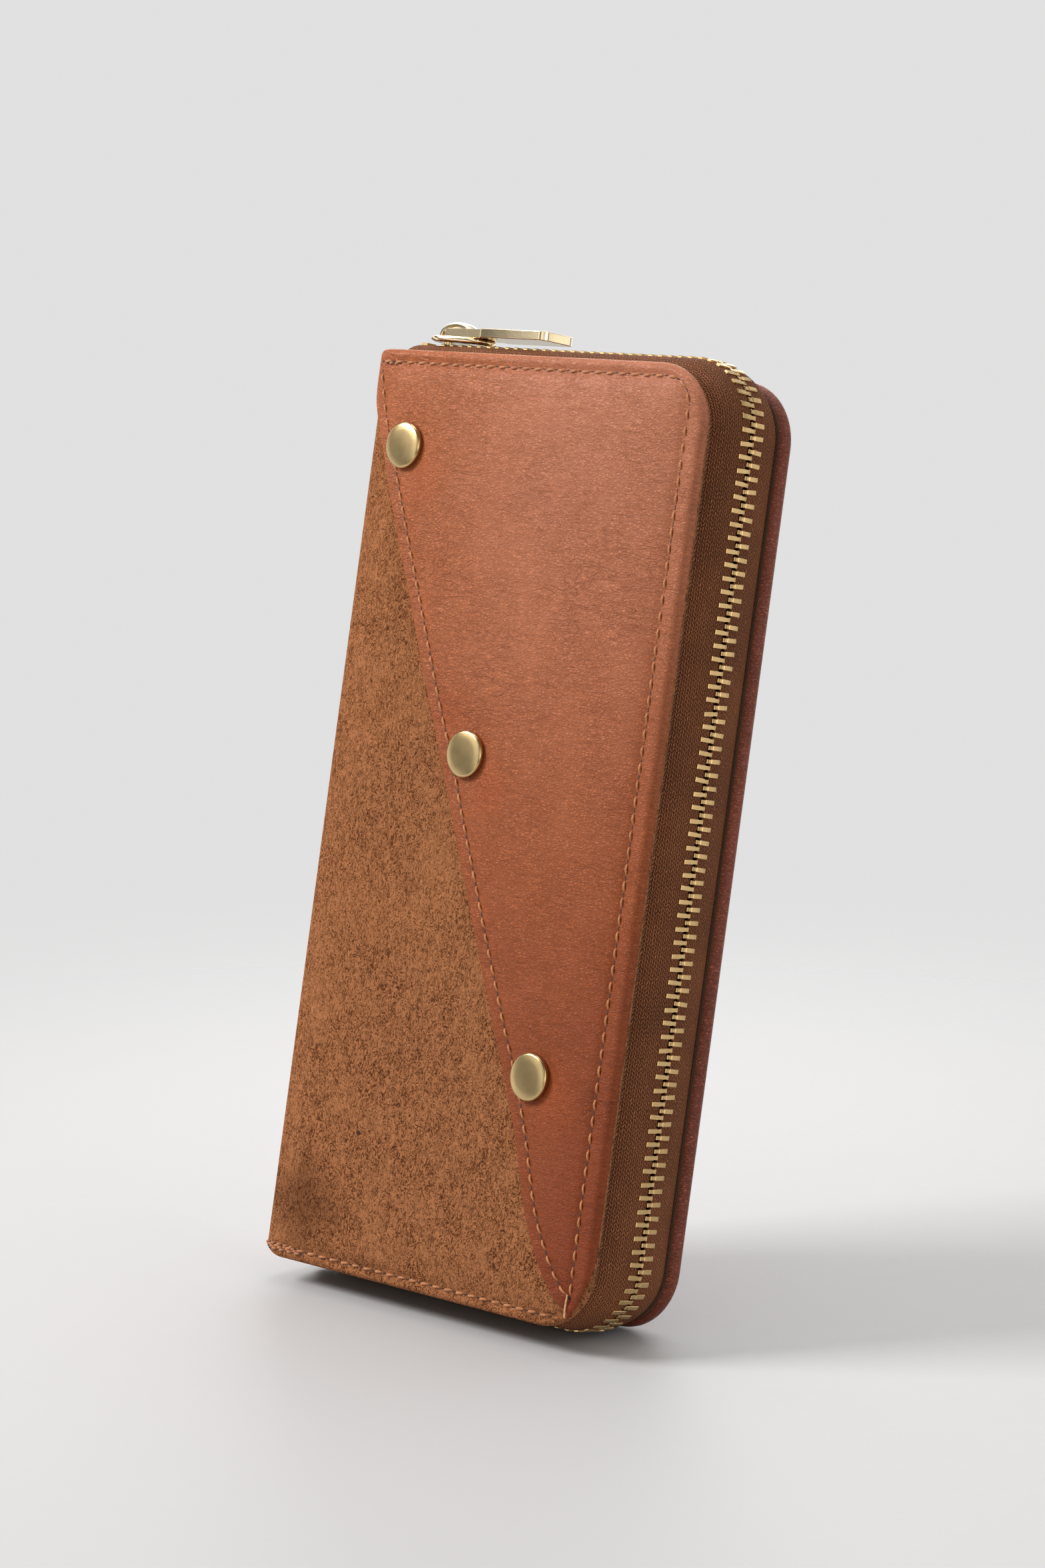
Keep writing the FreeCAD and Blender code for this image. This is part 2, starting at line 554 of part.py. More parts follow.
def zip_path(start, pitch, count):
    """Places along the main zip's outer face, from above the spine round to below it."""
    right = number(f"{SPINE_X} + sizes.cover_wide + sizes.side_bulge")
    left, mid = number(SPINE_X), number(MID_Y)
    top, turn = number(CHAIN_TOP), number(CHAIN_TURN)
    run, arc, side = right - turn - left, turn * math.pi / 2, top - 2 * turn
    places = []
    for i in range(count):
        s = start + i * pitch
        if s <= run:
            x, z, angle = left + s, top, 0.0
        elif s <= run + arc:
            angle = (s - run) / turn
            x, z = right - turn + turn * math.sin(angle), top - turn + turn * math.cos(angle)
        elif s <= run + arc + side:
            x, z, angle = right, top - turn - (s - run - arc), math.pi / 2
        elif s <= run + 2 * arc + side:
            angle = math.pi / 2 + (s - run - arc - side) / turn
            x, z = right - turn + turn * math.sin(angle), turn + turn * math.cos(angle)
        else:
            x, z, angle = right - turn - (s - run - 2 * arc - side), 0.0, math.pi
        places.append(Placement(Vector(x, mid, z), Rotation(Vector(0, 1, 0), math.degrees(angle))))
    return places


def zip_length():
    """The main zip's path, from above the spine's outer face round to below it."""
    turn = number(CHAIN_TURN)
    level = number("sizes.cover_wide + sizes.side_bulge") - turn
    return 2 * level + math.pi * turn + number(CHAIN_TOP) - 2 * turn


def make_main_zip():
    """Both halves of the main zip: tapes, teeth and stops."""
    front_hem = f"({FRONT_Y} + sizes.flap_thick + sizes.suede_thick + sizes.board_thick)"
    back_hem = f"({BACK_IN} + sizes.lining_thick)"
    edge_front, edge_back = f"({MID_Y} - sizes.tape_edge)", f"({MID_Y} + sizes.tape_edge)"
    zip_tape("zip_tape_front", front_hem, "sizes.front_pad", front_hem, f"({edge_front} - {front_hem})")
    zip_tape("zip_tape_back", back_hem, "sizes.back_pad", edge_back,
             f"({back_hem} + sizes.back_pad - {edge_back})")
    tooth = tooth_master("tooth_pattern", MAIN_CHAIN, MAIN_CHAIN.thick, MAIN_CHAIN.head)
    stop = tooth_master("stop_pattern", MAIN_CHAIN, "sizes.stop_long", "-sizes.stop_short")
    doc.recompute()
    pitch, half_stop = number("sizes.tooth_pitch"), number("sizes.stop_long / 2")
    end = zip_length() - number("sizes.tape_start") - half_stop
    first = number("sizes.slider_left + sizes.nose_long + sizes.tooth_thick")
    count = int((end - half_stop - pitch - first) / pitch)
    repeat("zip_teeth_front", tooth, zip_path(first, pitch, count))
    between = zip_path(first + pitch / 2, pitch, count)
    repeat("zip_teeth_back", tooth, [w.multiply(OTHER_ROW) for w in between])
    stops = zip_path(number("sizes.tape_start") + half_stop, 1, 1) + zip_path(end, 1, 1)
    repeat("zip_stops", stop, stops + [w.multiply(OTHER_ROW) for w in stops])


# A slider's own frame has the zip along X, its nose at X 0 and the teeth's outer face at Z 0. The coin
# slider's frame lies with X down and Z to the front.
DOWNWARD = Rotation(Vector(0, 0, -1), Vector(1, 0, 0), Vector(0, -1, 0), "ZXY")


def make_coin_zip():
    """The coin pocket's zip: two flat tapes behind the slot, and two rows of teeth."""
    band, tape = "sizes.coin_band", "sizes.coin_tape"
    low = f"({LOW_Z} + sizes.coin_ends + {band})"
    high = f"(sizes.cover_high - 2 * sizes.coin_ends - 2 * {band})"
    y = f"({MID_Y} - sizes.coin_thick / 2 + sizes.coin_wall)"
    half = f"(sizes.coin_zip_back - {band} - {COIN_CHAIN.edge})"
    middle = f"({INSIDE_X} + {COIN_WIDE} - sizes.coin_zip_back)"
    rectangle_plate("coin_zip_tape_inner", f"{middle} - {COIN_CHAIN.edge} - {half}", y, low, half, tape,
                    high)
    rectangle_plate("coin_zip_tape_outer", f"{middle} + {COIN_CHAIN.edge}", y, low, half, tape, high)
    tooth = tooth_master("coin_tooth_pattern", COIN_CHAIN, COIN_CHAIN.thick, COIN_CHAIN.head)
    doc.recompute()
    face = number(f"{y} + {tape} / 2 - {COIN_CHAIN.high} / 2")
    pitch, scale = number(COIN_CHAIN.pitch), number("sizes.coin_scale")
    top = number(f"{low} + {high} - sizes.coin_nose")
    first = number("sizes.nose_long") * scale + number(COIN_CHAIN.thick)
    count = int((top - number(low) - first - pitch) / pitch)
    down = Placement(Vector(number(middle), face, top), DOWNWARD)
    rows = [down.multiply(Placement(Vector(first + i * pitch, 0, 0), Rotation())) for i in range(count)]
    half_pitch = Placement(Vector(pitch / 2, 0, 0), Rotation())
    repeat("coin_zip_teeth_inner", tooth, rows)
    repeat("coin_zip_teeth_outer", tooth, [w.multiply(half_pitch).multiply(OTHER_ROW) for w in rows])


def make_slider(label, chain, scale):
    """A zip slider: two plates with flanges over the chain, joined by a wedge at its nose, and a bridge."""
    body = new_body(label)
    room, plate = "sizes.slider_room", f"(sizes.plate_thick * {scale})"
    half, inner = f"(sizes.slider_wide * {scale} / 2)", f"({chain.reach} + {room})"
    top_in, low_in = room, f"(-{chain.high} - {room})"
    top_out, low_out = f"({room} + {plate})", f"(-{chain.high} - {room} - {plate})"
    slot_top = f"(({chain.tape} - {chain.high}) / 2 + {room})"
    slot_low = f"((-{chain.tape} - {chain.high}) / 2 - {room})"
    nose = f"(sizes.nose_wide * {scale} / 2)"
    wedge = new_sketch(body, "wedge", "YZ_Plane")
    outline(wedge, [("z", low_out), ("x", nose), ("z", top_out), ("x", f"-{nose}")], [None] * 4)
    pad(body, wedge, f"sizes.nose_long * {scale}", reverse=False)
    for name, out, inside, slot in (("top", top_out, top_in, slot_top), ("low", low_out, low_in, slot_low)):
        profile = new_sketch(body, name, "YZ_Plane")
        outline(profile, [("z", out), ("x", half), ("z", slot), ("x", inner), ("z", inside),
                          ("x", f"-{inner}"), ("z", slot), ("x", f"-{half}")], [None] * 8)
        pad(body, profile, f"sizes.slider_long * {scale}", reverse=False)
    round_plan(body, number(half), number(f"sizes.slider_long * {scale}"), f"sizes.slider_turn * {scale}")
    start, span = f"(sizes.arch_start * {scale})", f"(sizes.arch_span * {scale})"
    rise, band = f"(sizes.arch_rise * {scale})", f"(sizes.arch_band * {scale})"
    turn = f"(sizes.arch_turn * {scale})"
    arch = new_sketch(body, "arch")
    far = f"({start} + {span})"
    outline(arch, [("z", top_out), ("x", far), ("z", f"({top_out} + {rise})"), ("x", start)],
            [None, turn, turn, None])
    pad(body, arch, f"sizes.arch_wide * {scale}", both_ways=True)
    hole = new_sketch(body, "arch_hole")
    small = f"({turn} - {band} / 2)"
    outline(hole, [("z", top_out), ("x", f"({start} + {span} - {band})"),
                   ("z", f"({top_out} + {rise} - {band})"), ("x", f"({start} + {band})")],
            [None, small, small, None])
    cut_through(body, hole)
    return body


def round_plan(body, half, long, radius):
    """Rounds the upright corner edges of a slider's plates."""
    doc.recompute()
    names = []
    for i, edge in enumerate(body.Shape.Edges, start=1):
        ends = [v.Point for v in edge.Vertexes]
        upright = len(ends) == 2 and abs(ends[0].x - ends[1].x) + abs(ends[0].y - ends[1].y) < 1e-6
        at_side = abs(abs(ends[0].y) - half) < 1e-6
        at_end = min(abs(ends[0].x), abs(ends[0].x - long)) < 1e-6
        if upright and at_side and at_end:
            names.append(f"Edge{i}")
    base = body.Tip
    made = body.newObject("PartDesign::Fillet", f"{body.Name}_corners")
    made.Base = (base, names)
    bind(made, "Radius", radius)


def make_pull(label, scale):
    """A pull tab with its pivot at the origin: a flat bar with a neck, an eye and a round cross bar."""
    body = new_body(label)
    thick, neck, half_neck = (f"(sizes.{n} * {scale})" for n in ("tab_thick", "neck_long", "neck_wide"))
    half_neck, half_tab = f"({half_neck} / 2)", f"(sizes.tab_wide * {scale} / 2)"
    tip, turn = f"(sizes.tab_long * {scale})", f"(sizes.tab_turn * {scale})"
    shoulder = f"(sizes.tab_turn * {scale} / 2)"
    flat = new_sketch(body, "flat", "XY_Plane")
    outline(flat, [("x", "0"), ("z", half_neck), ("x", neck), ("z", half_tab),
                   ("x", tip), ("z", f"-{half_tab}"), ("x", neck), ("z", f"-{half_neck}")],
            [None, None, shoulder, turn, turn, shoulder, None, None])
    pad(body, flat, thick, both_ways=True)
    knuckle = new_sketch(body, "knuckle")
    disc(knuckle, f"({thick} / 2)")
    pad(body, knuckle, f"2 * {half_neck}", both_ways=True)
    eye = new_sketch(body, "eye", "XY_Plane")
    half_eye = f"(sizes.eye_wide * {scale} / 2)"
    eye_long = f"(sizes.eye_long * {scale})"
    outline(eye, [("x", f"-{thick}"), ("z", half_eye), ("x", eye_long), ("z", f"-{half_eye}")], [None] * 4)
    cut_through(body, eye)
    pin = new_sketch(body, "pin")
    disc(pin, f"(sizes.pin_round * {scale})")
    pad(body, pin, f"2 * {half_neck}", both_ways=True)
    return body


def make_sliders():
    """The main slider and pull tab in place at the closed end, and the coin zip's."""
    rise = "(sizes.slider_room + sizes.plate_thick + sizes.pivot_rise)"
    place(make_slider("zip_slider", MAIN_CHAIN, "1"), f"{SPINE_X} + sizes.slider_left", MID_Y, CHAIN_TOP)
    place(make_pull("zip_pull", "1"), f"{SPINE_X} + sizes.slider_left + sizes.pivot_back", MID_Y,
          f"{CHAIN_TOP} + {rise}")
    scale = "sizes.coin_scale"
    x = f"({INSIDE_X} + {COIN_WIDE} - sizes.coin_zip_back)"
    y = f"({MID_Y} - sizes.coin_thick / 2 + sizes.coin_wall + (sizes.coin_tape - sizes.coin_high) / 2)"
    z = f"({COVER_TOP} - sizes.coin_ends - sizes.coin_band - sizes.coin_nose)"
    coin_rise = f"(sizes.slider_room + (sizes.plate_thick + sizes.pivot_rise) * {scale})"
    slider, pull = make_slider("coin_zip_slider", COIN_CHAIN, scale), make_pull("coin_zip_pull", scale)
    pivot = (x, f"{y} - {coin_rise}", f"{z} - sizes.pivot_back * {scale}")
    for body, spot in ((slider, (x, y, z)), (pull, pivot)):
        body.Placement.Rotation = DOWNWARD
        place(body, *spot)


def make_gussets():
    """A folded web at each short end: a half on each lining, meeting at a crease near the middle plane."""
    span = f"(sizes.cover_wide - sizes.gusset_free - {COVER_START} - sizes.board_inset)"
    for end, edge, sign in (("top", COVER_TOP, "-1"), ("bottom", LOW_Z, "1")):
        for side, wall, crease in (("front", FRONT_IN, f"({MID_Y} - sizes.gusset_room)"),
                                   ("back", BACK_IN, f"({MID_Y} + sizes.gusset_room)")):
            body = new_body(f"gusset_{end}_{side}")
            sketch = new_sketch(body, "fold", "YZ_Plane")
            seam, fold = f"({sign} * sizes.gusset_start)", f"({sign} * sizes.gusset_deep)"
            thick = f"({sign} * sizes.gusset_thick)"
            run = f"({crease} - {wall})"
            polygon(sketch, [("0", seam), (run, fold), (run, f"({fold} + {thick})"),
                             ("0", f"({seam} + {thick})")])
            pad(body, sketch, span, reverse=False)
            place(body, f"{SPINE_X} + {COVER_START} + sizes.board_inset", wall, edge)


def main():
    """Builds every sub-part in its place."""
    make_front_cover()
    make_back_cover()
    make_card_pockets()
    make_spine()
    make_coin_pocket()
    make_main_zip()
    make_coin_zip()
    make_sliders()
    make_gussets()


main()
doc.recompute()
for thing in doc.Objects:
    if "Invalid" in thing.State or "Error" in thing.State:
        raise RuntimeError(f"{thing.Label} failed: {thing.State}")
os.makedirs("parts", exist_ok=True)
for node in nodes:
    if node.Shape.isNull() or not node.Shape.isValid():
        raise RuntimeError(f"{node.Label} has no valid shape")
    node.Shape.exportStep(os.path.join("parts", f"{node.Label}.step"))
    box = node.Shape.BoundBox
    print(f"{node.Label:24s} {len(node.Shape.Solids):4d} solids  volume {node.Shape.Volume:9.1f}  "
          f"x {box.XMin:7.2f} {box.XMax:7.2f}  y {box.YMin:7.2f} {box.YMax:7.2f}  "
          f"z {box.ZMin:7.2f} {box.ZMax:7.2f}")
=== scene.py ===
"""The looks of a zip-around wallet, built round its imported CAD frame. Metres, in the frame's own axes."""
import logging
import math
from dataclasses import dataclass
from enum import Enum
from typing import Callable, Optional, Sequence

import bmesh
import bpy
import numpy as np
from mathutils import Matrix, Vector


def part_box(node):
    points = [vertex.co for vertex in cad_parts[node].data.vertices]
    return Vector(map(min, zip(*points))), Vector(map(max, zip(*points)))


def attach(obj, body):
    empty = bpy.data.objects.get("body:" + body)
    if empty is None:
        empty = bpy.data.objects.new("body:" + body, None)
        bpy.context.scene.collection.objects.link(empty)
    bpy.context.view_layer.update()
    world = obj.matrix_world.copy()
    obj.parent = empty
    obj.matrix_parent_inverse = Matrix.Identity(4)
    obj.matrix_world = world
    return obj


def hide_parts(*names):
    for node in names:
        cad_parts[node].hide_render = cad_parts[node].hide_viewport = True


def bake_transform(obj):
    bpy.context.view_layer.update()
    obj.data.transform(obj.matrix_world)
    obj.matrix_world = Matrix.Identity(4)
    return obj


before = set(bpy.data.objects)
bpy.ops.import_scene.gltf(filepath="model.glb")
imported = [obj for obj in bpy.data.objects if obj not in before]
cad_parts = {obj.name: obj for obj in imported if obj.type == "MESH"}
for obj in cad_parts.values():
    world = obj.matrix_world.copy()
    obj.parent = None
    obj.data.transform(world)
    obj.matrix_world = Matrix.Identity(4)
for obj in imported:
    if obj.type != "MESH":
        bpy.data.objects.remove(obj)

MM = 0.001
WELD = 0.002 * MM    # points closer than this become one
LOG = logging.getLogger("wallet")
Array = np.ndarray
Colour = tuple[float, float, float]


# ---------------------------------------------------------------- shader maths


class Value:
    """A number socket whose operators add Math nodes."""

    def __init__(self, kit: "NodeKit", socket: bpy.types.NodeSocket) -> None:
        self.kit, self.socket = kit, socket

    def _math(self, operation: str, first: object, second: object = 0.0) -> "Value":
        """Adds one Math node on two values."""
        made = self.kit.node("Math", {"operation": operation}, {0: first, 1: second})
        return Value(self.kit, made.outputs[0])

    def __add__(self, other: object) -> "Value":
        """self + other."""
        return self._math("ADD", self, other)

    def __sub__(self, other: object) -> "Value":
        """self - other."""
        return self._math("SUBTRACT", self, other)

    def __rsub__(self, other: object) -> "Value":
        """other - self."""
        return self._math("SUBTRACT", other, self)

    def __mul__(self, other: object) -> "Value":
        """self * other."""
        return self._math("MULTIPLY", self, other)

    def __truediv__(self, other: object) -> "Value":
        """self / other."""
        return self._math("DIVIDE", self, other)

    def __pow__(self, other: object) -> "Value":
        """self ** other."""
        return self._math("POWER", self, other)

    __radd__ = __add__
    __rmul__ = __mul__

    def sine(self) -> "Value":
        """The sine of an angle in radians."""
        return self._math("SINE", self)

    def size(self) -> "Value":
        """The value without its sign."""
        return self._math("ABSOLUTE", self)

    def fraction(self) -> "Value":
        """The value's part after the point."""
        return self._math("FRACT", self)

    def least(self, other: object) -> "Value":
        """The smaller of two values."""
        return self._math("MINIMUM", self, other)

    def ramp(self, low: float, high: float) -> "Value":
        """0 below low, 1 above high, and smooth between."""
        made = self.kit.node("MapRange", {"interpolation_type": "SMOOTHSTEP"}, {0: self, 1: low, 2: high})
        return Value(self.kit, made.outputs[0])


class NodeKit:
    """The node tree of a material or a world, with short ways to add to it."""

    def __init__(self, owner: bpy.types.ID) -> None:
        """Starts an empty tree in its owner."""
        owner.use_nodes = True
        self.owner, self.tree = owner, owner.node_tree
        self.tree.nodes.clear()

    def node(self, kind: str, settings: Optional[dict] = None,
             sockets: Optional[dict] = None) -> bpy.types.Node:
        """Adds a node.

        Args:
            kind: the node's type without its ShaderNode prefix.
            settings: properties, which are set first.
            sockets: input names or numbers, with values or what they link to.

        Returns:
            The new node.
        """
        made = self.tree.nodes.new("ShaderNode" + kind)
        for key, value in (settings or {}).items():
            setattr(made, key, value)
        for key, value in (sockets or {}).items():
            value = value.socket if isinstance(value, Value) else value
            if isinstance(value, bpy.types.NodeSocket):
                self.tree.links.new(value, made.inputs[key])
            else:
                made.inputs[key].default_value = value
        return made

    def place(self) -> bpy.types.NodeSocket:
        """The point of the surface in the frame's axes."""
        return self.node("TexCoord").outputs["Object"]

    def stretched(self, point: bpy.types.NodeSocket, scale: Sequence[float]) -> bpy.types.NodeSocket:
        """A point with each axis scaled on its own."""
        return self.node("Mapping", None, {"Vector": point, "Scale": tuple(scale)}).outputs[0]

    def axes(self, point: bpy.types.NodeSocket) -> list[Value]:
        """A point's three parts."""
        return [Value(self, o) for o in self.node("SeparateXYZ", None, {0: point}).outputs]

    def noise(self, point: object, scale: float, detail: float = 3, rough: float = 0.5,
              bend: float = 0) -> Value:
        """Cloudy noise from 0 to 1, with scale in features per metre."""
        sockets = {"Vector": point, "Scale": scale, "Detail": detail, "Roughness": rough, "Distortion": bend}
        return Value(self, self.node("TexNoise", None, sockets).outputs[0])

    def cells(self, point: object, scale: float, feature: str = "F1") -> Value:
        """The distance to the nearest cell point, or to the nearest cell edge."""
        made = self.node("TexVoronoi", {"feature": feature}, {"Vector": point, "Scale": scale})
        return Value(self, made.outputs["Distance"])

    def mix(self, factor: object, first: object, second: object) -> bpy.types.NodeSocket:
        """A colour between two, by a factor from 0 to 1."""
        sockets = {0: factor, 6: first, 7: second}
        return self.node("Mix", {"data_type": "RGBA", "clamp_factor": True}, sockets).outputs[2]

    def bump(self, height: object, depth: float,
             under: Optional[bpy.types.NodeSocket] = None) -> bpy.types.NodeSocket:
        """A normal from a height of 0 to 1 that stands for depth metres."""
        sockets = {"Height": height, "Distance": depth, "Strength": 1.0}
        if under is not None:
            sockets["Normal"] = under
        return self.node("Bump", None, sockets).outputs[0]

    def finish(self, sockets: dict) -> bpy.types.Material:
        """Closes the tree with a Principled shader."""
        shader = self.node("BsdfPrincipled", None, sockets)
        self.node("OutputMaterial", None, {0: shader.outputs[0]})
        return self.owner


def rgba(colour: Colour, share: float = 1.0) -> tuple[float, float, float, float]:
    """A colour with full alpha, its parts scaled by a share and at most 1."""
    return (*(min(c * share, 1.0) for c in colour), 1.0)


# ---------------------------------------------------------------- finishes


@dataclass(frozen=True)
class SmoothLeather:
    """Smooth leather with creases, a fine pebble, a soft colour change and painted light and shade.

    painted_light is how far painted shade darkens it towards the foot and the free edge and a painted
    highlight pales it towards the head. foot, head and side are the places of those edges, and
    painted_shade_pools are the x, z and reach of patches of painted shade.
    """

    name: str
    colour: Colour
    deep: Colour
    pale: Colour
    rough: float = 0.46
    crease: float = 1.0
    painted_light: float = 0.0
    foot: float = 0.0
    head: float = 0.19
    side: float = 0.0455
    painted_shade_pools: tuple[tuple[float, float, float], ...] = ()

    def material(self) -> bpy.types.Material:
        """Builds the node material."""
        kit = NodeKit(bpy.data.materials.new(self.name))
        point = kit.place()
        warp = kit.noise(point, 60, 2)
        cloud = kit.noise(point, 26, 2, 0.5)
        fine = kit.noise(point, 3200, 2)
        pebble = kit.cells(kit.stretched(point, (1.0, 1.0, 1.55)), 1150, "DISTANCE_TO_EDGE").ramp(0.0, 0.34)
        lines = kit.noise(kit.stretched(point, (0.5, 0.5, 1.45)), 700, 3, 0.62, 1.5)
        furrow = 1 - ((lines * 2 - 1).size().ramp(0.0, 0.10))
        cross = kit.noise(kit.stretched(point, (0.62, 0.62, 1.3)), 900, 2, 0.6, 2.2)
        furrow = (furrow + (1 - (cross * 2 - 1).size().ramp(0.0, 0.09)) * 0.6) * 0.75
        patch = kit.noise(point, 75, 2).ramp(0.36, 0.62)
        furrow = furrow * (patch * 0.3 + 0.6)
        long = kit.noise(kit.stretched(point, (0.5, 0.5, 1.3)), 150, 3, 0.6, 1.8)
        fold = (1 - (long * 2 - 1).size().ramp(0.0, 0.05)) * kit.noise(point, 40, 2).ramp(0.5, 0.7)
        grain = (pebble * 0.6 + lines * 0.9 + cross * 0.5 - 1.05) * 1.9 + 0.5
        shade = kit.mix(cloud.ramp(0.1, 0.85), rgba(self.deep), rgba(self.colour))
        shade = kit.mix(warp.ramp(0.5, 0.8) * 0.2, shade, rgba(self.pale))
        shade = kit.mix(grain.ramp(0.35, 1.2) * 0.5, shade, rgba(self.pale, 1.45))
        shade = kit.mix((1 - grain.ramp(-0.3, 0.5)) * 0.36, shade, rgba(self.deep, 0.62))
        # painted shade: the creases and folds are darkened where they sink
        shade = kit.mix((furrow * 0.4 + fold * 0.15), shade, rgba(self.deep, 0.58))
        x, _, z = kit.axes(point)
        # painted shade: darker towards the foot and towards the free edge by the seam
        low = 1 - (z + cloud * 0.04 - 0.02).ramp(self.foot - 31 * MM, self.head)
        low = (low + x.ramp(self.side - 21.5 * MM, self.side - 5.5 * MM) * 0.15).least(1.0)
        red, green, blue = self.deep
        shade = kit.mix(low * self.painted_light, shade, rgba((red * 0.6, green * 0.42, blue * 0.1)))
        # painted highlight: a pale tone towards the head, stronger away from the spine
        painted_highlight = (z + cloud * 0.03).ramp(self.head - 95 * MM, self.head + 15 * MM)
        painted_highlight = painted_highlight * (x.ramp(self.side - 78 * MM, self.side - 35 * MM) * 0.8 + 0.2)
        shade = kit.mix(painted_highlight * (0.62 * self.painted_light), shade, rgba((0.48, 0.175, 0.092)))
        # painted shade: deeper, more saturated patches in the leather's dips
        for px, pz, reach in self.painted_shade_pools:
            away = ((x - px) ** 2.0 + (z - pz) ** 2.0) ** 0.5 + cloud * (0.3 * reach)
            near = 1 - away.ramp(0.25 * reach, reach)
            shade = kit.mix(near * 0.42, shade, rgba((red, green * 0.8, blue * 0.45)))
        height = pebble * 0.30 + fine * 0.10 - furrow * (0.55 * self.crease) - fold * (0.9 * self.crease)
        normal = kit.bump(height, 0.15 * MM)
        normal = kit.bump(cloud + warp * 0.5, 0.06 * MM, normal)
        rough = cloud * 0.12 + (self.rough - 0.05) + furrow * 0.1
        return kit.finish({"Base Color": shade, "Roughness": rough, "Normal": normal,
                           "Specular IOR Level": 0.28, "Coat Weight": 0.02, "Coat Roughness": 0.35})


@dataclass(frozen=True)
class Suede:
    """Suede: a mottled nap of short strokes with darker patches, lighter towards the top and the spine by
    painted light and shade. darkened and speck are the x and z of a darker corner and of one dark spot."""

    name: str
    colour: Colour
    deep: Colour
    pale: Colour
    darkened: tuple[float, float]
    speck: tuple[float, float]

    def material(self) -> bpy.types.Material:
        """Builds the node material."""
        kit = NodeKit(bpy.data.materials.new(self.name))
        point = kit.place()
        patches = kit.noise(point, 26, 4, 0.66, 0.6)
        blotch = kit.noise(point, 110, 3, 0.6)
        stroke = kit.noise(kit.stretched(point, (1.0, 1.0, 0.5)), 1600, 2, 0.6, 2.2)
        curl = kit.noise(kit.stretched(point, (0.9, 1.0, 0.6)), 820, 2, 0.6, 3.0)
        stroke = 1 - (stroke * 2 - 1).size().ramp(0.0, 0.42)
        curl = 1 - (curl * 2 - 1).size().ramp(0.0, 0.36)
        fibre = kit.noise(point, 5200, 2, 0.6)
        tuft = kit.noise(kit.stretched(point, (1.0, 1.0, 0.7)), 520, 3, 0.7, 1.2)
        x, _, z = kit.axes(point)
        # painted light and shade over random patches: lighter towards the top and the spine, darker towards
        # the foot and the free edge
        slant = (patches + z * 1.1 - x * 1.6 - 0.19).ramp(0.3, 0.66)
        shade = kit.mix(slant, rgba(self.deep), rgba(self.colour))
        shade = kit.mix(blotch.ramp(0.4, 0.75) * 0.5, shade, rgba(self.pale))
        nap = (stroke - 0.5) * 0.5 + (curl - 0.5) * 0.62 + (fibre - 0.5) * 0.4 + (tuft - 0.5) * 1.1
        shade = kit.mix((nap * 2.7 + 0.2).ramp(0.3, 1.1) * 0.86, shade, rgba(self.pale))
        shade = kit.mix((0.4 - nap * 2.3).ramp(0.2, 1.5) * 0.78, shade, rgba(self.deep, 0.44))
        # darker towards one corner
        beside, above = x - self.darkened[0], z - self.darkened[1]
        corner = 1 - (beside.size() / (14 * MM) + above.size() / (12 * MM)).ramp(0.2, 1.4)
        shade = kit.mix(corner * 0.5, shade, rgba(self.deep, 0.55))
        away = (x - self.speck[0]) ** 2.0 + (z - self.speck[1]) ** 2.0
        speck = 1 - away.ramp((0.25 * MM) ** 2, (0.75 * MM) ** 2)
        shade = kit.mix(speck * 0.8, shade, rgba((0.03, 0.014, 0.008)))
        normal = kit.bump(nap * 0.5 + 0.5, 0.34 * MM)
        return kit.finish({"Base Color": shade, "Roughness": 0.95, "Normal": normal,
                           "Specular IOR Level": 0.12, "Sheen Weight": 0.08, "Sheen Roughness": 0.5,
                           "Sheen Tint": rgba(self.pale)})


class Weave(Enum):
    """How a woven finish runs over the piece's own UV map, in metres."""

    RIB = "ribs along the strip, each a row of slanted threads"
    TWILL = "fine diagonal twill"


@dataclass(frozen=True)
class Woven:
    """Woven cloth or tape that follows the piece's UV map."""

    name: str
    colour: Colour
    deep: Colour
    weave: Weave
    rib: float = 0.62
    step: float = 0.95
    sheen: float = 0.1

    def material(self) -> bpy.types.Material:
        """Builds the node material. Ribs are sine waves across the strip, and in each rib a slanted thread
        repeats along it, leaning the other way in every second rib."""
        kit = NodeKit(bpy.data.materials.new(self.name))
        along, across, _ = kit.axes(kit.node("UVMap", {"uv_map": "UVMap"}).outputs[0])
        wander = kit.noise(kit.place(), 900, 2) - 0.5
        if self.weave is Weave.RIB:
            cell = across / (self.rib * MM) + wander * 0.9
            bulge = ((cell * math.pi).sine().size()) ** 0.7
            lean = ((cell * 0.5).fraction() - 0.5).size() * 4 - 1
            turn = (along / (self.step * MM) + lean * 0.62 + wander * 1.3) * (2 * math.pi)
            height = bulge * (turn.sine() * 0.42 + 0.58)
        else:
            turn = (along / (self.step * MM) + across / (self.rib * MM)) * (2 * math.pi)
            cross = (along / (self.step * MM) - across / (self.rib * MM)) * (2 * math.pi)
            height = (turn.sine() * 0.5 + 0.5) * 0.7 + (cross.sine() * 0.5 + 0.5) * 0.3
        fuzz = kit.noise(kit.place(), 4200, 2)
        tone = kit.noise(kit.place(), 70, 3)
        # painted light and shade: raised threads lighter, the grooves between them darker, over random fuzz
        # and tone
        light = (height * 1.1 + fuzz * 0.6 + tone * 0.6 - 0.75).ramp(0.05, 0.85)
        shade = kit.mix(light, rgba(self.deep), rgba(self.colour))
        normal = kit.bump(height + fuzz * 0.25, 0.24 * MM)
        return kit.finish({"Base Color": shade, "Roughness": 0.85, "Normal": normal,
                           "Specular IOR Level": 0.2, "Sheen Weight": self.sheen, "Sheen Roughness": 0.4})


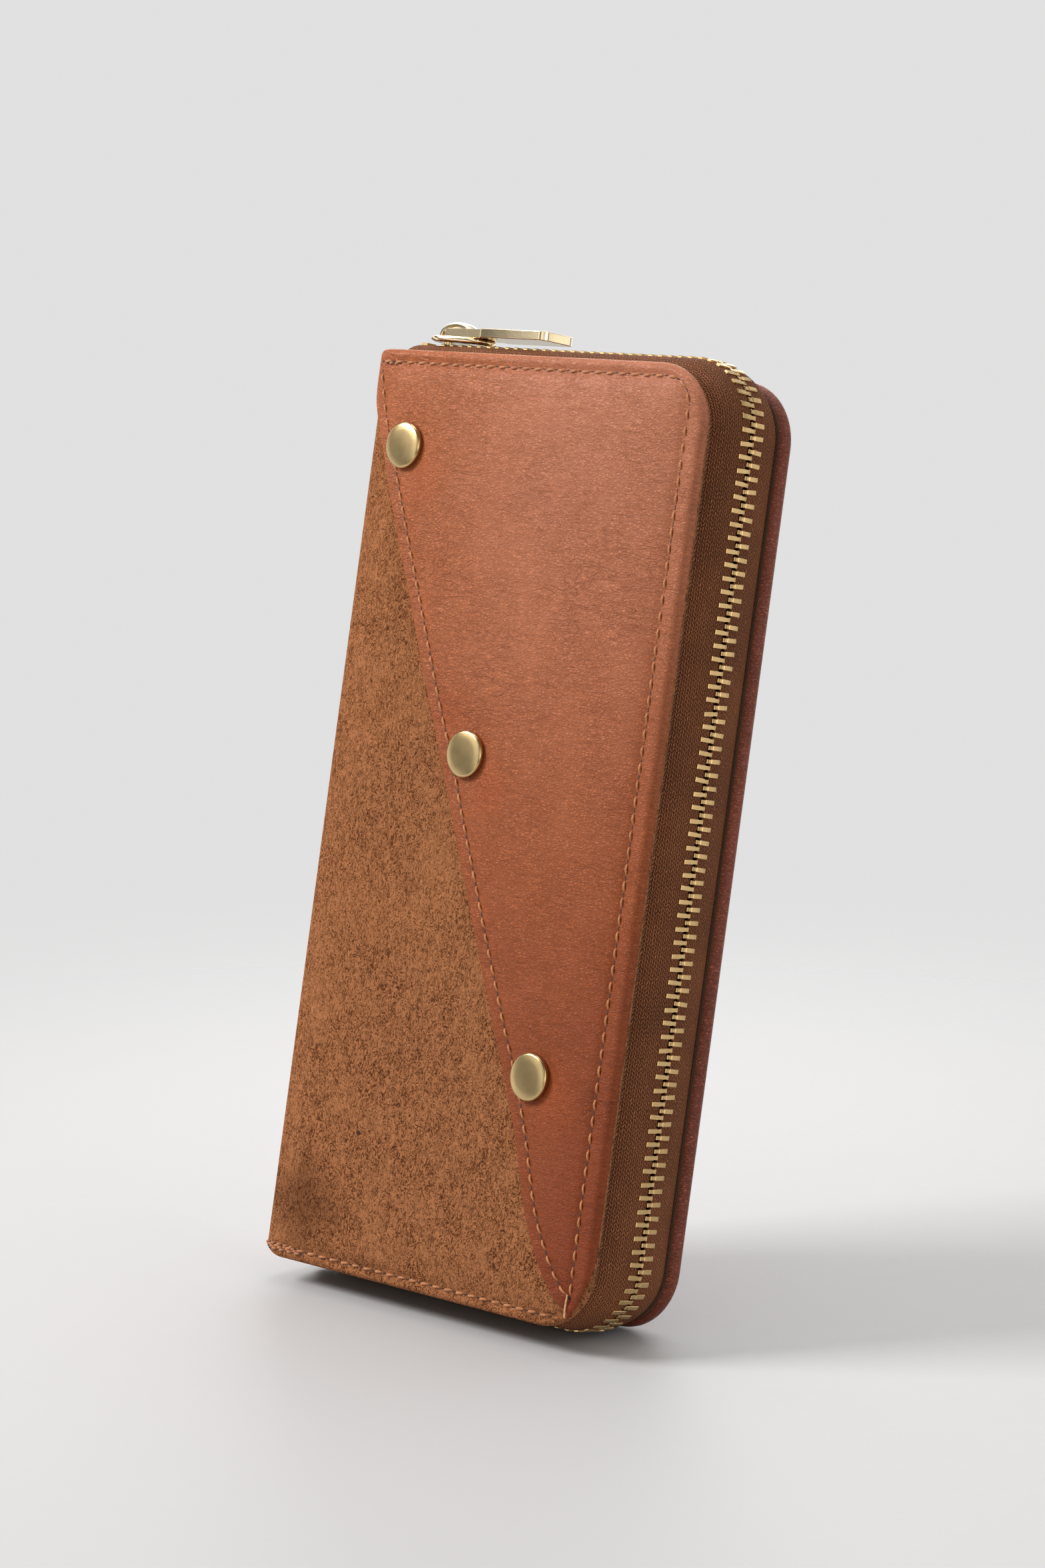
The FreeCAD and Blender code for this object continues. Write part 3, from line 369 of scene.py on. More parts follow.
@dataclass(frozen=True)
class Metal:
    """Plated or solid brass with faint wear."""

    name: str
    colour: Colour
    darkened: Colour
    rough: float = 0.22
    tarnish: float = 0.3

    def material(self) -> bpy.types.Material:
        """Builds the node material."""
        kit = NodeKit(bpy.data.materials.new(self.name))
        point = kit.place()
        cloud = kit.noise(point, 260, 3, 0.6)
        scratch = kit.noise(kit.stretched(point, (1.0, 1.0, 9.0)), 900, 2)
        shade = kit.mix(cloud.ramp(0.45, 0.75) * self.tarnish, rgba(self.colour), rgba(self.darkened))
        normal = kit.bump(scratch * 0.5 + cloud, 0.012 * MM)
        rough = cloud * 0.12 + (self.rough - 0.04)
        return kit.finish({"Base Color": shade, "Metallic": 1.0, "Roughness": rough, "Normal": normal})


@dataclass(frozen=True)
class Thread:
    """Twisted sewing thread."""

    name: str
    colour: Colour
    deep: Colour

    def material(self) -> bpy.types.Material:
        """Builds the node material."""
        kit = NodeKit(bpy.data.materials.new(self.name))
        point = kit.place()
        strand = kit.noise(point, 2600, 2)
        tone = kit.noise(point, 240, 2)
        shade = kit.mix((strand * 0.8 + tone * 0.5).ramp(0.35, 0.85), rgba(self.deep), rgba(self.colour))
        return kit.finish({"Base Color": shade, "Roughness": 0.6, "Normal": kit.bump(strand, 0.08 * MM),
                           "Sheen Weight": 0.2})


@dataclass(frozen=True)
class Plain:
    """A hidden or very small part: one colour with a faint grain."""

    name: str
    colour: Colour
    rough: float = 0.8

    def material(self) -> bpy.types.Material:
        """Builds the node material."""
        kit = NodeKit(bpy.data.materials.new(self.name))
        grain = kit.noise(kit.place(), 700, 3)
        shade = kit.mix(grain, rgba(self.colour, 0.75), rgba(self.colour))
        normal = kit.bump(grain, 0.05 * MM)
        return kit.finish({"Base Color": shade, "Roughness": self.rough, "Normal": normal})


# ---------------------------------------------------------------- meshes


def make_piece(name: str, points: Array, faces: Array, material: bpy.types.Material,
               uv: Optional[Array] = None, smooth: bool = True) -> bpy.types.Object:
    """Makes an object at the origin from numpy arrays.

    Args:
        name: the piece's name.
        points: N by 3 places in metres.
        faces: M by 4 or M by 3 point numbers.
        material: its finish.
        uv: N by 2 map, in metres, or None.
        smooth: whether its faces are shaded smooth.

    Returns:
        The object, with doubled points and empty faces removed.
    """
    mesh = bpy.data.meshes.new(name)
    mesh.from_pydata(points.reshape(-1, 3).tolist(), [], faces.tolist())
    if uv is not None:
        layer = mesh.uv_layers.new(name="UVMap")
        index = np.zeros(len(mesh.loops), np.int32)
        mesh.loops.foreach_get("vertex_index", index)
        layer.data.foreach_set("uv", uv.reshape(-1, 2)[index].astype(np.float32).ravel())
    build = bmesh.new()
    build.from_mesh(mesh)
    bmesh.ops.remove_doubles(build, verts=build.verts, dist=WELD)
    bmesh.ops.dissolve_degenerate(build, edges=build.edges, dist=WELD)
    build.to_mesh(mesh)
    build.free()
    mesh.polygons.foreach_set("use_smooth", np.full(len(mesh.polygons), smooth))
    mesh.materials.append(material)
    made = bpy.data.objects.new(name, mesh)
    bpy.context.scene.collection.objects.link(made)
    return made


def grid_faces(rows: int, cols: int, flip: bool = False, close: bool = False) -> Array:
    """Quads of a rows by cols grid of points, closed along its columns if asked."""
    count = cols if close else cols - 1
    i, j = np.meshgrid(np.arange(rows - 1), np.arange(count), indexing="ij")
    n = (j + 1) % cols
    quads = np.stack([i * cols + j, i * cols + n, (i + 1) * cols + n, (i + 1) * cols + j], -1).reshape(-1, 4)
    return quads[:, ::-1] if flip else quads


def copies(points: Array, faces: Array, at: Array, axes: Array) -> tuple[Array, Array]:
    """Copies of one small shape.

    Args:
        points: K by 3 points of the shape.
        faces: its faces.
        at: N by 3 places.
        axes: N by 3 by 3, each copy's three axes as rows.

    Returns:
        All points and all faces.
    """
    spread = np.einsum("kc,ncd->nkd", points, axes) + at[:, None, :]
    shift = (np.arange(len(at)) * len(points))[:, None, None]
    return spread.reshape(-1, 3), (faces[None] + shift).reshape(-1, faces.shape[1])


def add_thickness(piece: bpy.types.Object, thick: float, offset: float = -1.0) -> None:
    """Gives a sheet its wall: inwards from its faces at offset -1, or to both sides at 0."""
    wall = piece.modifiers.new("wall", "SOLIDIFY")
    wall.thickness, wall.offset = thick, offset


def smoothstep(value: Array, low: float, high: float) -> Array:
    """0 below low, 1 above high, and smooth between."""
    t = np.clip((value - low) / (high - low), 0, 1)
    return t * t * (3 - 2 * t)


def hermite(at: Array, knots: Array, values: Array) -> Array:
    """A smooth curve through (knots, values): cubic pieces whose slopes at the knots are the mean of the
    slopes on both sides."""
    slope = np.diff(values) / np.diff(knots)
    bend = np.concatenate([slope[:1], (slope[1:] + slope[:-1]) / 2, slope[-1:]])
    i = np.clip(np.searchsorted(knots, at) - 1, 0, len(knots) - 2)
    w = knots[i + 1] - knots[i]
    t = np.clip((at - knots[i]) / w, 0, 1)
    return (values[i] * (1 + 2 * t) * (1 - t) ** 2 + w * bend[i] * t * (1 - t) ** 2
            + values[i + 1] * t * t * (3 - 2 * t) + w * bend[i + 1] * t * t * (t - 1))


def ripple(s: Array, z: Array, seed: int, wave: float) -> Array:
    """A soft uneven height from -1 to 1: the mean of eight sine waves of about one wavelength, in directions
    and phases drawn from a seed."""
    draw = np.random.default_rng(seed)
    total = np.zeros(np.broadcast(s, z).shape)
    for _ in range(8):
        way, phase, scale = draw.uniform(0, 2 * math.pi), draw.uniform(0, 2 * math.pi), draw.uniform(0.7, 1.5)
        total += np.sin(2 * math.pi * (s * math.cos(way) + z * math.sin(way)) / (wave * scale) + phase)
    return total / 8


@dataclass(frozen=True)
class Outline:
    """A cover's outline, round at the two free corners and open towards the spine."""

    right: float
    low: float
    high: float
    turn: float

    def inset(self, by: float) -> "Outline":
        """The same outline, smaller by a distance on its three sides."""
        return Outline(self.right - by, self.low + by, self.high - by, self.turn - by)

    def edge(self, z: Array) -> tuple[Array, Array, Array]:
        """The right edge at heights z: its x, and the outward direction's x and z parts."""
        over = np.maximum(z - (self.high - self.turn), 0) - np.maximum((self.low + self.turn) - z, 0)
        lift = np.clip(over / self.turn, -1, 1)
        side = np.sqrt(1 - lift ** 2)
        return self.right - self.turn + self.turn * side, side, lift

    def depth(self, x: Array, z: Array) -> Array:
        """How far inside the outline a point is: the signed distance to a rounded box."""
        half = (self.high - self.low) / 2 - self.turn
        qx = x - (self.right - self.turn)
        qz = np.abs(z - (self.high + self.low) / 2) - half
        return self.turn - np.hypot(np.maximum(qx, 0), np.maximum(qz, 0)) - np.minimum(np.maximum(qx, qz), 0)

    def heights(self, step: float) -> Array:
        """Heights from the bottom to the top, close together where the corners turn."""
        turn = np.sin(np.linspace(0, math.pi / 2, 18)) * self.turn
        middle = np.linspace(self.low + self.turn, self.high - self.turn,
                             int((self.high - self.low - 2 * self.turn) / step))
        return np.concatenate([self.low + self.turn - turn[::-1], middle[1:-1], self.high - self.turn + turn])

    def walk(self, start: float, finish: float, count: int = 900) -> tuple[Array, Array]:
        """Points along the outline from the top at x start, round the right, to the bottom at x finish, a
        level distance apart: their x, z."""
        x, z = self.bends(60)
        return resample(np.concatenate([[start], x, [finish]]), np.concatenate([[self.high], z, [self.low]]),
                        count)

    def bends(self, count: int) -> tuple[Array, Array]:
        """Points round the top corner and then the bottom corner, count on each: their x, z."""
        corner = np.linspace(0, math.pi / 2, count)
        level, rise = self.turn * np.sin(corner), self.turn * np.cos(corner)
        cx = self.right - self.turn
        return (np.concatenate([cx + level, cx + rise]),
                np.concatenate([self.high - self.turn + rise, self.low + self.turn - level]))


def resample(x: Array, z: Array, count: int) -> tuple[Array, Array]:
    """The same line with count points a level distance apart."""
    far = np.concatenate([[0], np.cumsum(np.hypot(np.diff(x), np.diff(z)))])
    at = np.linspace(0, far[-1], count)
    return np.interp(at, far, x), np.interp(at, far, z)


Surface = Callable[[Array, Array, Array], Array]
Height = Callable[[Array, Array], Array]


# ---------------------------------------------------------------- the wallet's shared shape


@dataclass(frozen=True)
class Shape:
    """The wallet's main lines, read from the CAD frame and shared by every sub-assembly."""

    cover: Outline
    chain: Outline
    spine: float
    face: float
    back: float
    middle: float
    skin: float = 0.95 * MM
    bend: float = 3.0 * MM

    @staticmethod
    def from_frame(cover_turn: float = 13.0 * MM, chain_turn: float = 14.5 * MM) -> "Shape":
        """Reads the covers' and the chain's boxes; the turns are their corners' radii."""
        low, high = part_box("front_suede_panel")
        _, back_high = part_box("back_leather_panel")
        flap_low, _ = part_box("front_leather_flap")
        spine_low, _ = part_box("spine_suede")
        teeth_low, teeth_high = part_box("zip_teeth_front")
        cover = Outline(high.x, low.z, high.z, cover_turn)
        chain = Outline(teeth_high.x, max(teeth_low.z, 0.0), teeth_high.z, chain_turn)
        middle = (flap_low.y + back_high.y) / 2
        return Shape(cover, chain, spine_low.x, flap_low.y, back_high.y, middle)

    @property
    def arc(self) -> float:
        """Length of the quarter turn between a cover and the spine."""
        return self.bend * math.pi / 2

    @property
    def flat_start(self) -> float:
        """x where the front face's flat part starts."""
        return self.spine + self.bend

    def wrap(self, s: Array, z: Array, h: Array) -> Array:
        """The front and spine as one sheet. s runs along it: positive over the front face, then back round a
        quarter turn, over the spine's flat, and round to the back. h stands out from the sheet."""
        s, z, h = np.broadcast_arrays(s, z, h)
        front, rear = self.face + self.skin, self.back - self.skin
        flat = rear - front - 2 * self.bend
        first = np.clip(-s, 0, self.arc) / self.bend
        second = np.clip(-s - self.arc - flat, 0, self.arc) / self.bend
        level = np.clip(-s - self.arc, 0, flat)
        beyond = np.maximum(-s - 2 * self.arc - flat, 0)
        out = self.bend + h
        turn = first + second
        crown = 0.5 * MM * np.sin(math.pi * level / flat)
        x = self.flat_start - out * np.sin(turn) + np.maximum(s, 0) + beyond - crown * (turn > 1.5)
        centre = np.where(second > 0, rear - self.bend, front + self.bend + level)
        return np.stack([x, centre - out * np.cos(turn), z], -1)

    def back_face(self, s: Array, z: Array, h: Array) -> Array:
        """The back cover's face as a sheet. s is 0 where its flat starts, and round the spine's edge below
        0."""
        s, z, h = np.broadcast_arrays(s, z, h)
        turn = np.clip(-s, 0, self.arc) / self.bend
        out = self.bend + self.skin + h
        centre = self.back - self.skin - self.bend
        x = self.flat_start - out * np.sin(turn) + np.maximum(s, 0)
        return np.stack([x, centre + out * np.cos(turn), z], -1)

    def fold(self, piece: bpy.types.Object, side: int) -> None:
        """Bakes a piece's transform into its mesh. side, which is -1 for the front and 1 for the back, is not
        used."""
        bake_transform(piece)


@dataclass(frozen=True)
class Edge:
    """How a sheet turns round a cover's edge: a half circle and then a hem along the inside."""

    round: float
    hem: float = 3.0 * MM
    steps: int = 12

    def profile(self) -> tuple[Array, Array]:
        """Outward distances and drops along the turn."""
        angle = np.linspace(0, math.pi, self.steps)[1:]
        hem = np.linspace(0, self.hem, 3)[1:]
        out = np.concatenate([self.round * np.sin(angle), -hem])
        drop = np.concatenate([self.round * (1 - np.cos(angle)), np.full(2, 2 * self.round)])
        return out, drop


def wrapped_sheet(s: Array, z: Array, edge: Edge, outline: Outline, surface: Surface, height: Height,
                  low_wrap: bool = True, turned: Optional[Array] = None) -> tuple[Array, Array, Array]:
    """A sheet over a cover's face that turns round its free edges.

    The face is a grid of rows by columns. Past its last column each row goes on along the outline's outward
    direction through the edge's profile, and past its first and last rows so does each column. In the corners
    between, both come to one line.

    Args:
        s: rows by columns, the distance along the sheet.
        z: rows by columns, the height.
        edge: how the sheet turns.
        outline: the outline that the face ends at.
        surface: maps s, z and a height to places.
        height: the face's own height.
        low_wrap: whether it turns round the bottom edge too.
        turned: for each row, the share of the turn that it makes at its right end.

    Returns:
        Places, UV and the grid's size.
    """
    out, drop = edge.profile()
    v = len(out)
    _, nx, nz = outline.edge(z[:, -1])
    share = np.ones(len(z)) if turned is None else turned
    at = np.arange(1, v + 1)[None] * share[:, None]
    outs = np.interp(at, np.arange(v + 1), np.concatenate([[0], out]))
    drops = np.interp(at, np.arange(v + 1), np.concatenate([[0], drop]))
    top = height(s, z)
    rs, rz = s[:, -1:] + nx[:, None] * outs, z[:, -1:] + nz[:, None] * outs
    body_s, body_z = np.hstack([s, rs]), np.hstack([z, rz])
    body_h = np.hstack([top, top[:, -1:] - drops])
    blocks = [(body_s, body_z, body_h)]
    corner = np.maximum.outer(np.arange(v), np.arange(v))
    for row, sign, use in ((-1, 1.0, True), (0, -1.0, low_wrap)):
        if not use:
            continue
        reach = np.hstack([np.tile(out[:, None], (1, s.shape[1])), out[corner]])
        fall = np.hstack([np.tile(drop[:, None], (1, s.shape[1])), drop[corner]])
        wide_s = np.tile(np.hstack([s[row], np.full(v, s[row, -1])]), (v, 1))
        wide_z = np.tile(np.hstack([z[row], np.full(v, z[row, -1])]), (v, 1)) + sign * reach
        wide_h = np.tile(np.hstack([top[row], np.full(v, top[row, -1])]), (v, 1)) - fall
        if sign > 0:
            blocks.append((wide_s, wide_z, wide_h))
        else:
            blocks.insert(0, (wide_s[::-1], wide_z[::-1], wide_h[::-1]))
    all_s, all_z, all_h = (np.vstack(parts) for parts in zip(*blocks))
    return surface(all_s, all_z, all_h), np.stack([all_s, all_z], -1), np.array(all_s.shape)


# ---------------------------------------------------------------- sewing


@dataclass
class Sewing:
    """Rows of stitches: thread that arches from one needle hole to the next."""

    pitch: float = 3.3 * MM
    length: float = 2.55 * MM
    wide: float = 0.3 * MM
    proud: float = 0.30 * MM
    lean: float = 0.10
    hole_long: float = 0.62 * MM
    hole_wide: float = 0.33 * MM

    def stitch(self) -> tuple[Array, Array]:
        """One stitch: rings of six points along an arch, thin at both ends. Its height over the cloth is a
        half sine, and its width tapers as the fourth root of the distance from the ends."""
        t = np.linspace(0, 1, 8)
        ring = np.linspace(0, 2 * math.pi, 7)[:-1]
        girth = self.wide * np.maximum(1 - (2 * t - 1) ** 4, 0.12)[:, None]
        along = np.tile(((t - 0.5) * self.length)[:, None], (1, 6))
        arch = self.proud * (1.5 * np.sin(math.pi * t) - 0.55)
        rise = arch[:, None] + girth * 0.75 * np.sin(ring)
        points = np.stack([along, girth * np.cos(ring), rise], -1).reshape(-1, 3)
        caps = [[0, 5, 4, 3], [0, 3, 2, 1], [42, 43, 44, 45], [42, 45, 46, 47]]
        return points, np.vstack([grid_faces(8, 6, False, True), np.array(caps)])

    def hole(self) -> tuple[Array, Array]:
        """One needle hole: a flat dark lens, painted shade that stands for the hole's depth."""
        ring = np.linspace(0, 2 * math.pi, 9)[:-1]
        rim = np.stack([self.hole_long * np.cos(ring), self.hole_wide * np.sin(ring), np.full(8, 0.0)], -1)
        top = np.stack([0.4 * MM * np.cos(ring), 0.2 * MM * np.sin(ring), np.full(8, 0.05 * MM)], -1)
        base = rim * [1, 1, 0] + [0, 0, -0.25 * MM]
        caps = [[16, 17, 18, 19], [16, 19, 20, 23], [20, 21, 22, 23],
                [3, 2, 1, 0], [7, 4, 3, 0], [7, 6, 5, 4]]
        faces = np.vstack([grid_faces(3, 8, False, True), caps])
        return np.vstack([base, rim, top]), faces

    def sew(self, name: str, s: Array, z: Array, surface: Surface, height: Height, thread: bpy.types.Material,
            dark: bpy.types.Material, pitch: Optional[float] = None) -> list[bpy.types.Object]:
        """Sews along a line on a surface.

        Args:
            name: the piece's name.
            s, z: the line on the sheet.
            surface: maps s, z and a height to places.
            height: the sheet's height there.
            thread: the thread's finish.
            dark: the holes' finish.
            pitch: the distance from one stitch to the next, if not the usual one.

        Returns:
            The stitches and the holes.
        """
        step = pitch or self.pitch
        length = float(np.hypot(np.diff(s), np.diff(z)).sum())
        count = max(int(round(length / step)), 2)
        fine_s, fine_z = resample(s, z, 2 * count + 1)
        points = surface(fine_s, fine_z, height(fine_s, fine_z))
        raised = surface(fine_s, fine_z, height(fine_s, fine_z) + 1 * MM)
        up = raised - points
        up /= np.linalg.norm(up, axis=1, keepdims=True)
        made = []
        for kind, at, shape, finish in (("thread", slice(1, None, 2), self.stitch(), thread),
                                        ("holes", slice(0, None, 2), self.hole(), dark)):
            place = points[at]
            before, after = np.roll(points, 1, 0), np.roll(points, -1, 0)
            before[0], after[-1] = points[0], points[-1]
            way = (after - before)[at]
            way /= np.linalg.norm(way, axis=1, keepdims=True)
            normal = up[at]
            side = np.cross(normal, way)
            if kind == "thread":
                way = way + side * self.lean
                way /= np.linalg.norm(way, axis=1, keepdims=True)
                side = np.cross(normal, way)
            shape_points = shape[0] * ([step / self.pitch, 1, 1] if kind == "thread" else [1, 1, 1])
            all_points, all_faces = copies(shape_points, shape[1], place, np.stack([way, side, normal], 1))
            made.append(make_piece(f"{name}_{kind}", all_points, all_faces, finish))
        return made


# ---------------------------------------------------------------- front


@dataclass
class FrontCover:
    """The suede that wraps front and spine, the leather flap over it, its rivets and its sewing."""

    shape: Shape
    finishes: dict[str, bpy.types.Material]
    sewing: Sewing
    puff: float = 1.3 * MM
    groove: float = 0.30 * MM
    flap_stitch: float = 3.1 * MM
    cap_round: float = 4.8 * MM
    cap_rise: float = 1.9 * MM

    def __post_init__(self) -> None:
        """Works out the stitch line, the flap's edge and the rivets' places."""
        cover = self.shape.cover
        self.seam = Outline(cover.right - 4.2 * MM, cover.low + 2.7 * MM, cover.high - 2.8 * MM, 6.0 * MM)
        low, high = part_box("rivet_caps")
        r = self.cap_round
        self.rivets = np.linspace([low.x + r, high.z - r], [high.x - r, low.z + r], 3)

    def to_s(self, x: Array) -> Array:
        """Distance along the sheet of a place on the flat front."""
        return x - self.shape.flat_start

    def flap_edge(self, z: Array) -> Array:
        """The flap's slanting edge at heights z, as a distance along the sheet. It starts at a tip near the
        free corner, swings in, goes on nearly straight to the top corner by the spine, and turns upright
        there. Its foot is measured in from the free edge and up, and its head in from the spine and down."""
        cover = self.shape.cover
        foot = np.array([[4.3, 3.6], [7.3, 5.6], [16.3, 17.6], [23.8, 36.5], [42.1, 75.0]]) * MM
        head = np.array([[10.1, 30.6], [-0.4, 7.0], [-1.1, -0.5]]) * MM
        x = np.concatenate([cover.right - foot[:, 0], self.shape.spine + head[:, 0]])
        knots = np.concatenate([cover.low + foot[:, 1], cover.high - head[:, 1]])
        return hermite(z, knots, self.to_s(x))

    def slant(self, z: Array) -> Array:
        """The slanting edge's length for each unit of height: the root of 1 and its slope squared."""
        step = 0.5 * MM
        return np.sqrt(1 + ((self.flap_edge(z + step) - self.flap_edge(z - step)) / (2 * step)) ** 2)

    def edge_distance(self, s: Array, z: Array) -> Array:
        """How far a point is inside the flap's slanting edge: the level distance over its slant."""
        return (s - self.flap_edge(z)) / self.slant(z)

    def pad(self, s: Array, z: Array) -> Array:
        """The cover's own height: it swells inside the seam as one less an exponential, dips along the seam,
        sinks round each rivet and waves a little."""
        x = s + self.shape.flat_start
        depth = self.seam.depth(x, z)
        swell = self.puff * (1 - np.exp(-np.maximum(depth, 0) / (5.5 * MM)))
        dip = self.groove * np.exp(-(depth / (0.85 * MM)) ** 2)
        total = swell - dip + 0.10 * MM * ripple(s, z, 4, 38 * MM) * smoothstep(depth, 0, 8 * MM)
        for rx, rz in self.rivets:
            total -= 0.62 * MM * np.exp(-((x - rx) ** 2 + (z - rz) ** 2) / (7.0 * MM) ** 2)
        return total * smoothstep(s, -1 * MM, 7 * MM)

    def suede_height(self, s: Array, z: Array) -> Array:
        """The suede's height: the pad, pressed a little along the flap's edge."""
        near = np.minimum(self.edge_distance(s, z), 0)
        press = 0.18 * MM * np.exp(-(near / (2.2 * MM)) ** 2)
        return self.pad(s, z) - press * smoothstep(s, 0, 4 * MM)

    def flap_height(self, s: Array, z: Array) -> Array:
        """The leather's height: its thickness, rounded as a quarter circle at the slanting edge, with a dip
        along the flap's seam and a swell inside it."""
        near = np.maximum(self.edge_distance(s, z), 0)
        skin = self.shape.skin
        turn = np.sqrt(np.clip(1 - (1 - np.minimum(near / skin, 1)) ** 2, 0, 1))
        dip = 0.26 * MM * np.exp(-((near - self.flap_stitch) / (0.8 * MM)) ** 2)
        swell = 0.3 * MM * (1 - np.exp(-np.maximum(near - self.flap_stitch, 0) / (4 * MM)))
        return self.pad(s, z) + skin * turn - dip + swell + 0.05 * MM * ripple(s, z, 9, 16 * MM) * turn

    def build_suede(self) -> bpy.types.Object:
        """The suede sheet, from the back's edge round the spine and over the front."""
        shape = self.shape
        face = shape.cover.inset(0.4 * MM)
        edge = Edge(1.1 * MM, 4 * MM)
        inner = face.inset(edge.round)
        rows = inner.heights(1.3 * MM)
        right = self.to_s(inner.edge(rows)[0])
        flat = shape.back - shape.face - 2 * shape.skin - 2 * shape.bend
        bends = np.linspace(0, shape.arc, 9)
        start = -(2 * shape.arc + flat)
        left = np.concatenate([start + bends[4:], np.linspace(start + shape.arc, -shape.arc, 20)[1:-1],
                               -shape.arc + bends[:-1]])
        spread = np.linspace(0, 1, 92)
        s = np.hstack([np.tile(left, (len(rows), 1)), right[:, None] * spread])
        short = 1.5 * MM * smoothstep(-s, -2.0 * MM, 0.8 * shape.arc)
        middle = (inner.low + inner.high) / 2
        z = middle + (rows[:, None] - middle) * (1 - short / (inner.high - middle))
        points, uv, size = wrapped_sheet(s, z, edge, inner, shape.wrap, self.suede_height)
        piece = make_piece("suede_wrap", points, grid_faces(*size), self.finishes["suede"], uv)
        add_thickness(piece, 0.6 * MM)
        shape.fold(piece, -1)
        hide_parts("front_suede_panel", "spine_suede")
        return piece

    def build_flap(self) -> bpy.types.Object:
        """The leather flap, which turns round the cover's top and free edge."""
        shape = self.shape
        edge = Edge(1.45 * MM, 2 * MM)
        inner = shape.cover.inset(edge.round)
        rows = inner.heights(1.1 * MM)
        tip = 4.9 * MM
        rows = np.concatenate([np.linspace(tip, 9 * MM, 14)[:-1], rows[rows >= 9 * MM]])
        right = self.to_s(inner.edge(rows)[0])
        left = np.minimum(self.flap_edge(rows), right)
        wide = right - left
        rim = np.array([0, 0.03, 0.1, 0.2, 0.34, 0.52, 0.74, 1.0, 1.35]) * MM
        squeeze = np.minimum(1, wide / (4 * MM))[:, None]
        rest = np.linspace(0, 1, 118)[1:]
        s = np.hstack([left[:, None] + rim * squeeze,
                       left[:, None] + rim[-1] * squeeze + (wide[:, None] - rim[-1] * squeeze) * rest])
        z = np.tile(rows[:, None], (1, s.shape[1]))
        turned = 0.22 + 0.78 * smoothstep(rows, 9 * MM, 26 * MM)
        points, uv, size = wrapped_sheet(s, z, edge, inner, shape.wrap, self.flap_height, False, turned)
        piece = make_piece("leather_flap", points, grid_faces(*size), self.finishes["flap"], uv)
        add_thickness(piece, 0.75 * MM)
        shape.fold(piece, -1)
        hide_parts("front_leather_flap")
        return piece

    def build_rivets(self) -> bpy.types.Object:
        """Three rivet caps: a low dome turned round the rivet's line, with a rolled rim."""
        r, rise = self.cap_round, self.cap_rise
        edge = np.linspace(0, math.pi / 2, 7)
        soft = 0.55 * MM
        radii = np.concatenate([[0.02 * r, 0.3 * r, 0.6 * r, 0.8 * r], r - soft + soft * np.sin(edge),
                                [r, r - 0.25 * MM, r - 0.7 * MM]])
        tall = np.concatenate([[rise, rise - 0.015 * MM, rise - 0.06 * MM, rise - 0.12 * MM],
                               rise - 0.2 * MM - soft * (1 - np.cos(edge)), [0.45 * MM, 0.1 * MM, -0.4 * MM]])
        turn = np.linspace(0, 2 * math.pi, 49)[:-1]
        one = np.stack([radii[:, None] * np.cos(turn), np.tile(tall[:, None], (1, 48)),
                        radii[:, None] * np.sin(turn)], -1)
        points = np.vstack([one.reshape(-1, 3), [[0, rise, 0]]])
        faces = grid_faces(len(radii), 48, True, True)
        cap = np.stack([np.full(24, len(points) - 1), np.arange(0, 48, 2), np.arange(1, 49, 2),
                        np.arange(2, 50, 2) % 48], -1)
        face = self.shape.face - 0.75 * MM
        at = np.array([[x, face, z] for x, z in self.rivets])
        axes = np.tile(np.array([[1.0, 0, 0], [0, -1.0, 0], [0, 0, 1.0]]), (3, 1, 1))
        all_points, all_faces = copies(points, np.vstack([faces, cap]), at, axes)
        piece = make_piece("rivet_cap_domes", all_points, all_faces, self.finishes["rivet"])
        mend_normals(piece)
        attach(piece, "front_cover")
        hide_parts("rivet_caps")
        return piece

    def build_sewing(self) -> None:
        """The seam round the flap, the flap's slanting seam, the seam along the bottom and the bar tacks."""
        shape, thread, dark = self.shape, self.finishes["thread"], self.finishes["hole"]
        x, z = self.seam.walk(shape.flat_start - 0.9 * MM, shape.flat_start, 1600)
        keep = (z > 8.2 * MM) | (x < 0)
        top = keep & (np.arange(len(x)) < np.argmax((z < 8.2 * MM)))
        rows = np.linspace(186.2 * MM, 8.4 * MM, 400)
        slope = self.flap_edge(rows) + self.flap_stitch * self.slant(rows)
        made = self.sewing.sew("seam_round_flap", self.to_s(x[top]), z[top], shape.wrap, self.flap_height,
                               thread, dark)
        made += self.sewing.sew("seam_down_flap", slope, rows, shape.wrap, self.flap_height, thread, dark)
        low = (z < self.seam.low + 0.4 * MM) & (self.to_s(x) > -1 * MM) & (x < 36 * MM)
        made += self.sewing.sew("seam_along_bottom", self.to_s(x[low])[::-1], z[low][::-1], shape.wrap,
                                self.suede_height, thread, dark)
        tack = np.linspace(-2.4 * MM, 6.5 * MM, 40)
        for i, drop in enumerate((-0.35, 0.0, 0.3, 0.65)):
            line = np.full(40, self.seam.low - drop * MM)
            made += self.sewing.sew(f"bar_tack_low_{i}", tack + i * 0.7 * MM, line, shape.wrap,
                                    self.suede_height, thread, dark, (1.9 + 0.2 * i) * MM)
        high = np.linspace(1 * MM, 4.2 * MM, 20)
        made += self.sewing.sew("bar_tack_top", high, np.full(20, self.seam.high - 0.35 * MM), shape.wrap,
                                self.flap_height, thread, dark, 1.6 * MM)
        t = np.linspace(0, 1, 16)
        tail_s = slope[-1] + (0.1 - 0.7 * t + 0.9 * t * t) * MM
        tail_z = rows[-1] + (0.5 - 4.6 * t) * MM
        tail = shape.wrap(tail_s, tail_z, self.flap_height(tail_s, np.maximum(tail_z, 6 * MM)) + 0.35 * MM)
        made.append(tube("thread_tail", tail, 0.17 * MM, self.finishes["loose"]))
        for piece in made:
            shape.fold(piece, -1)

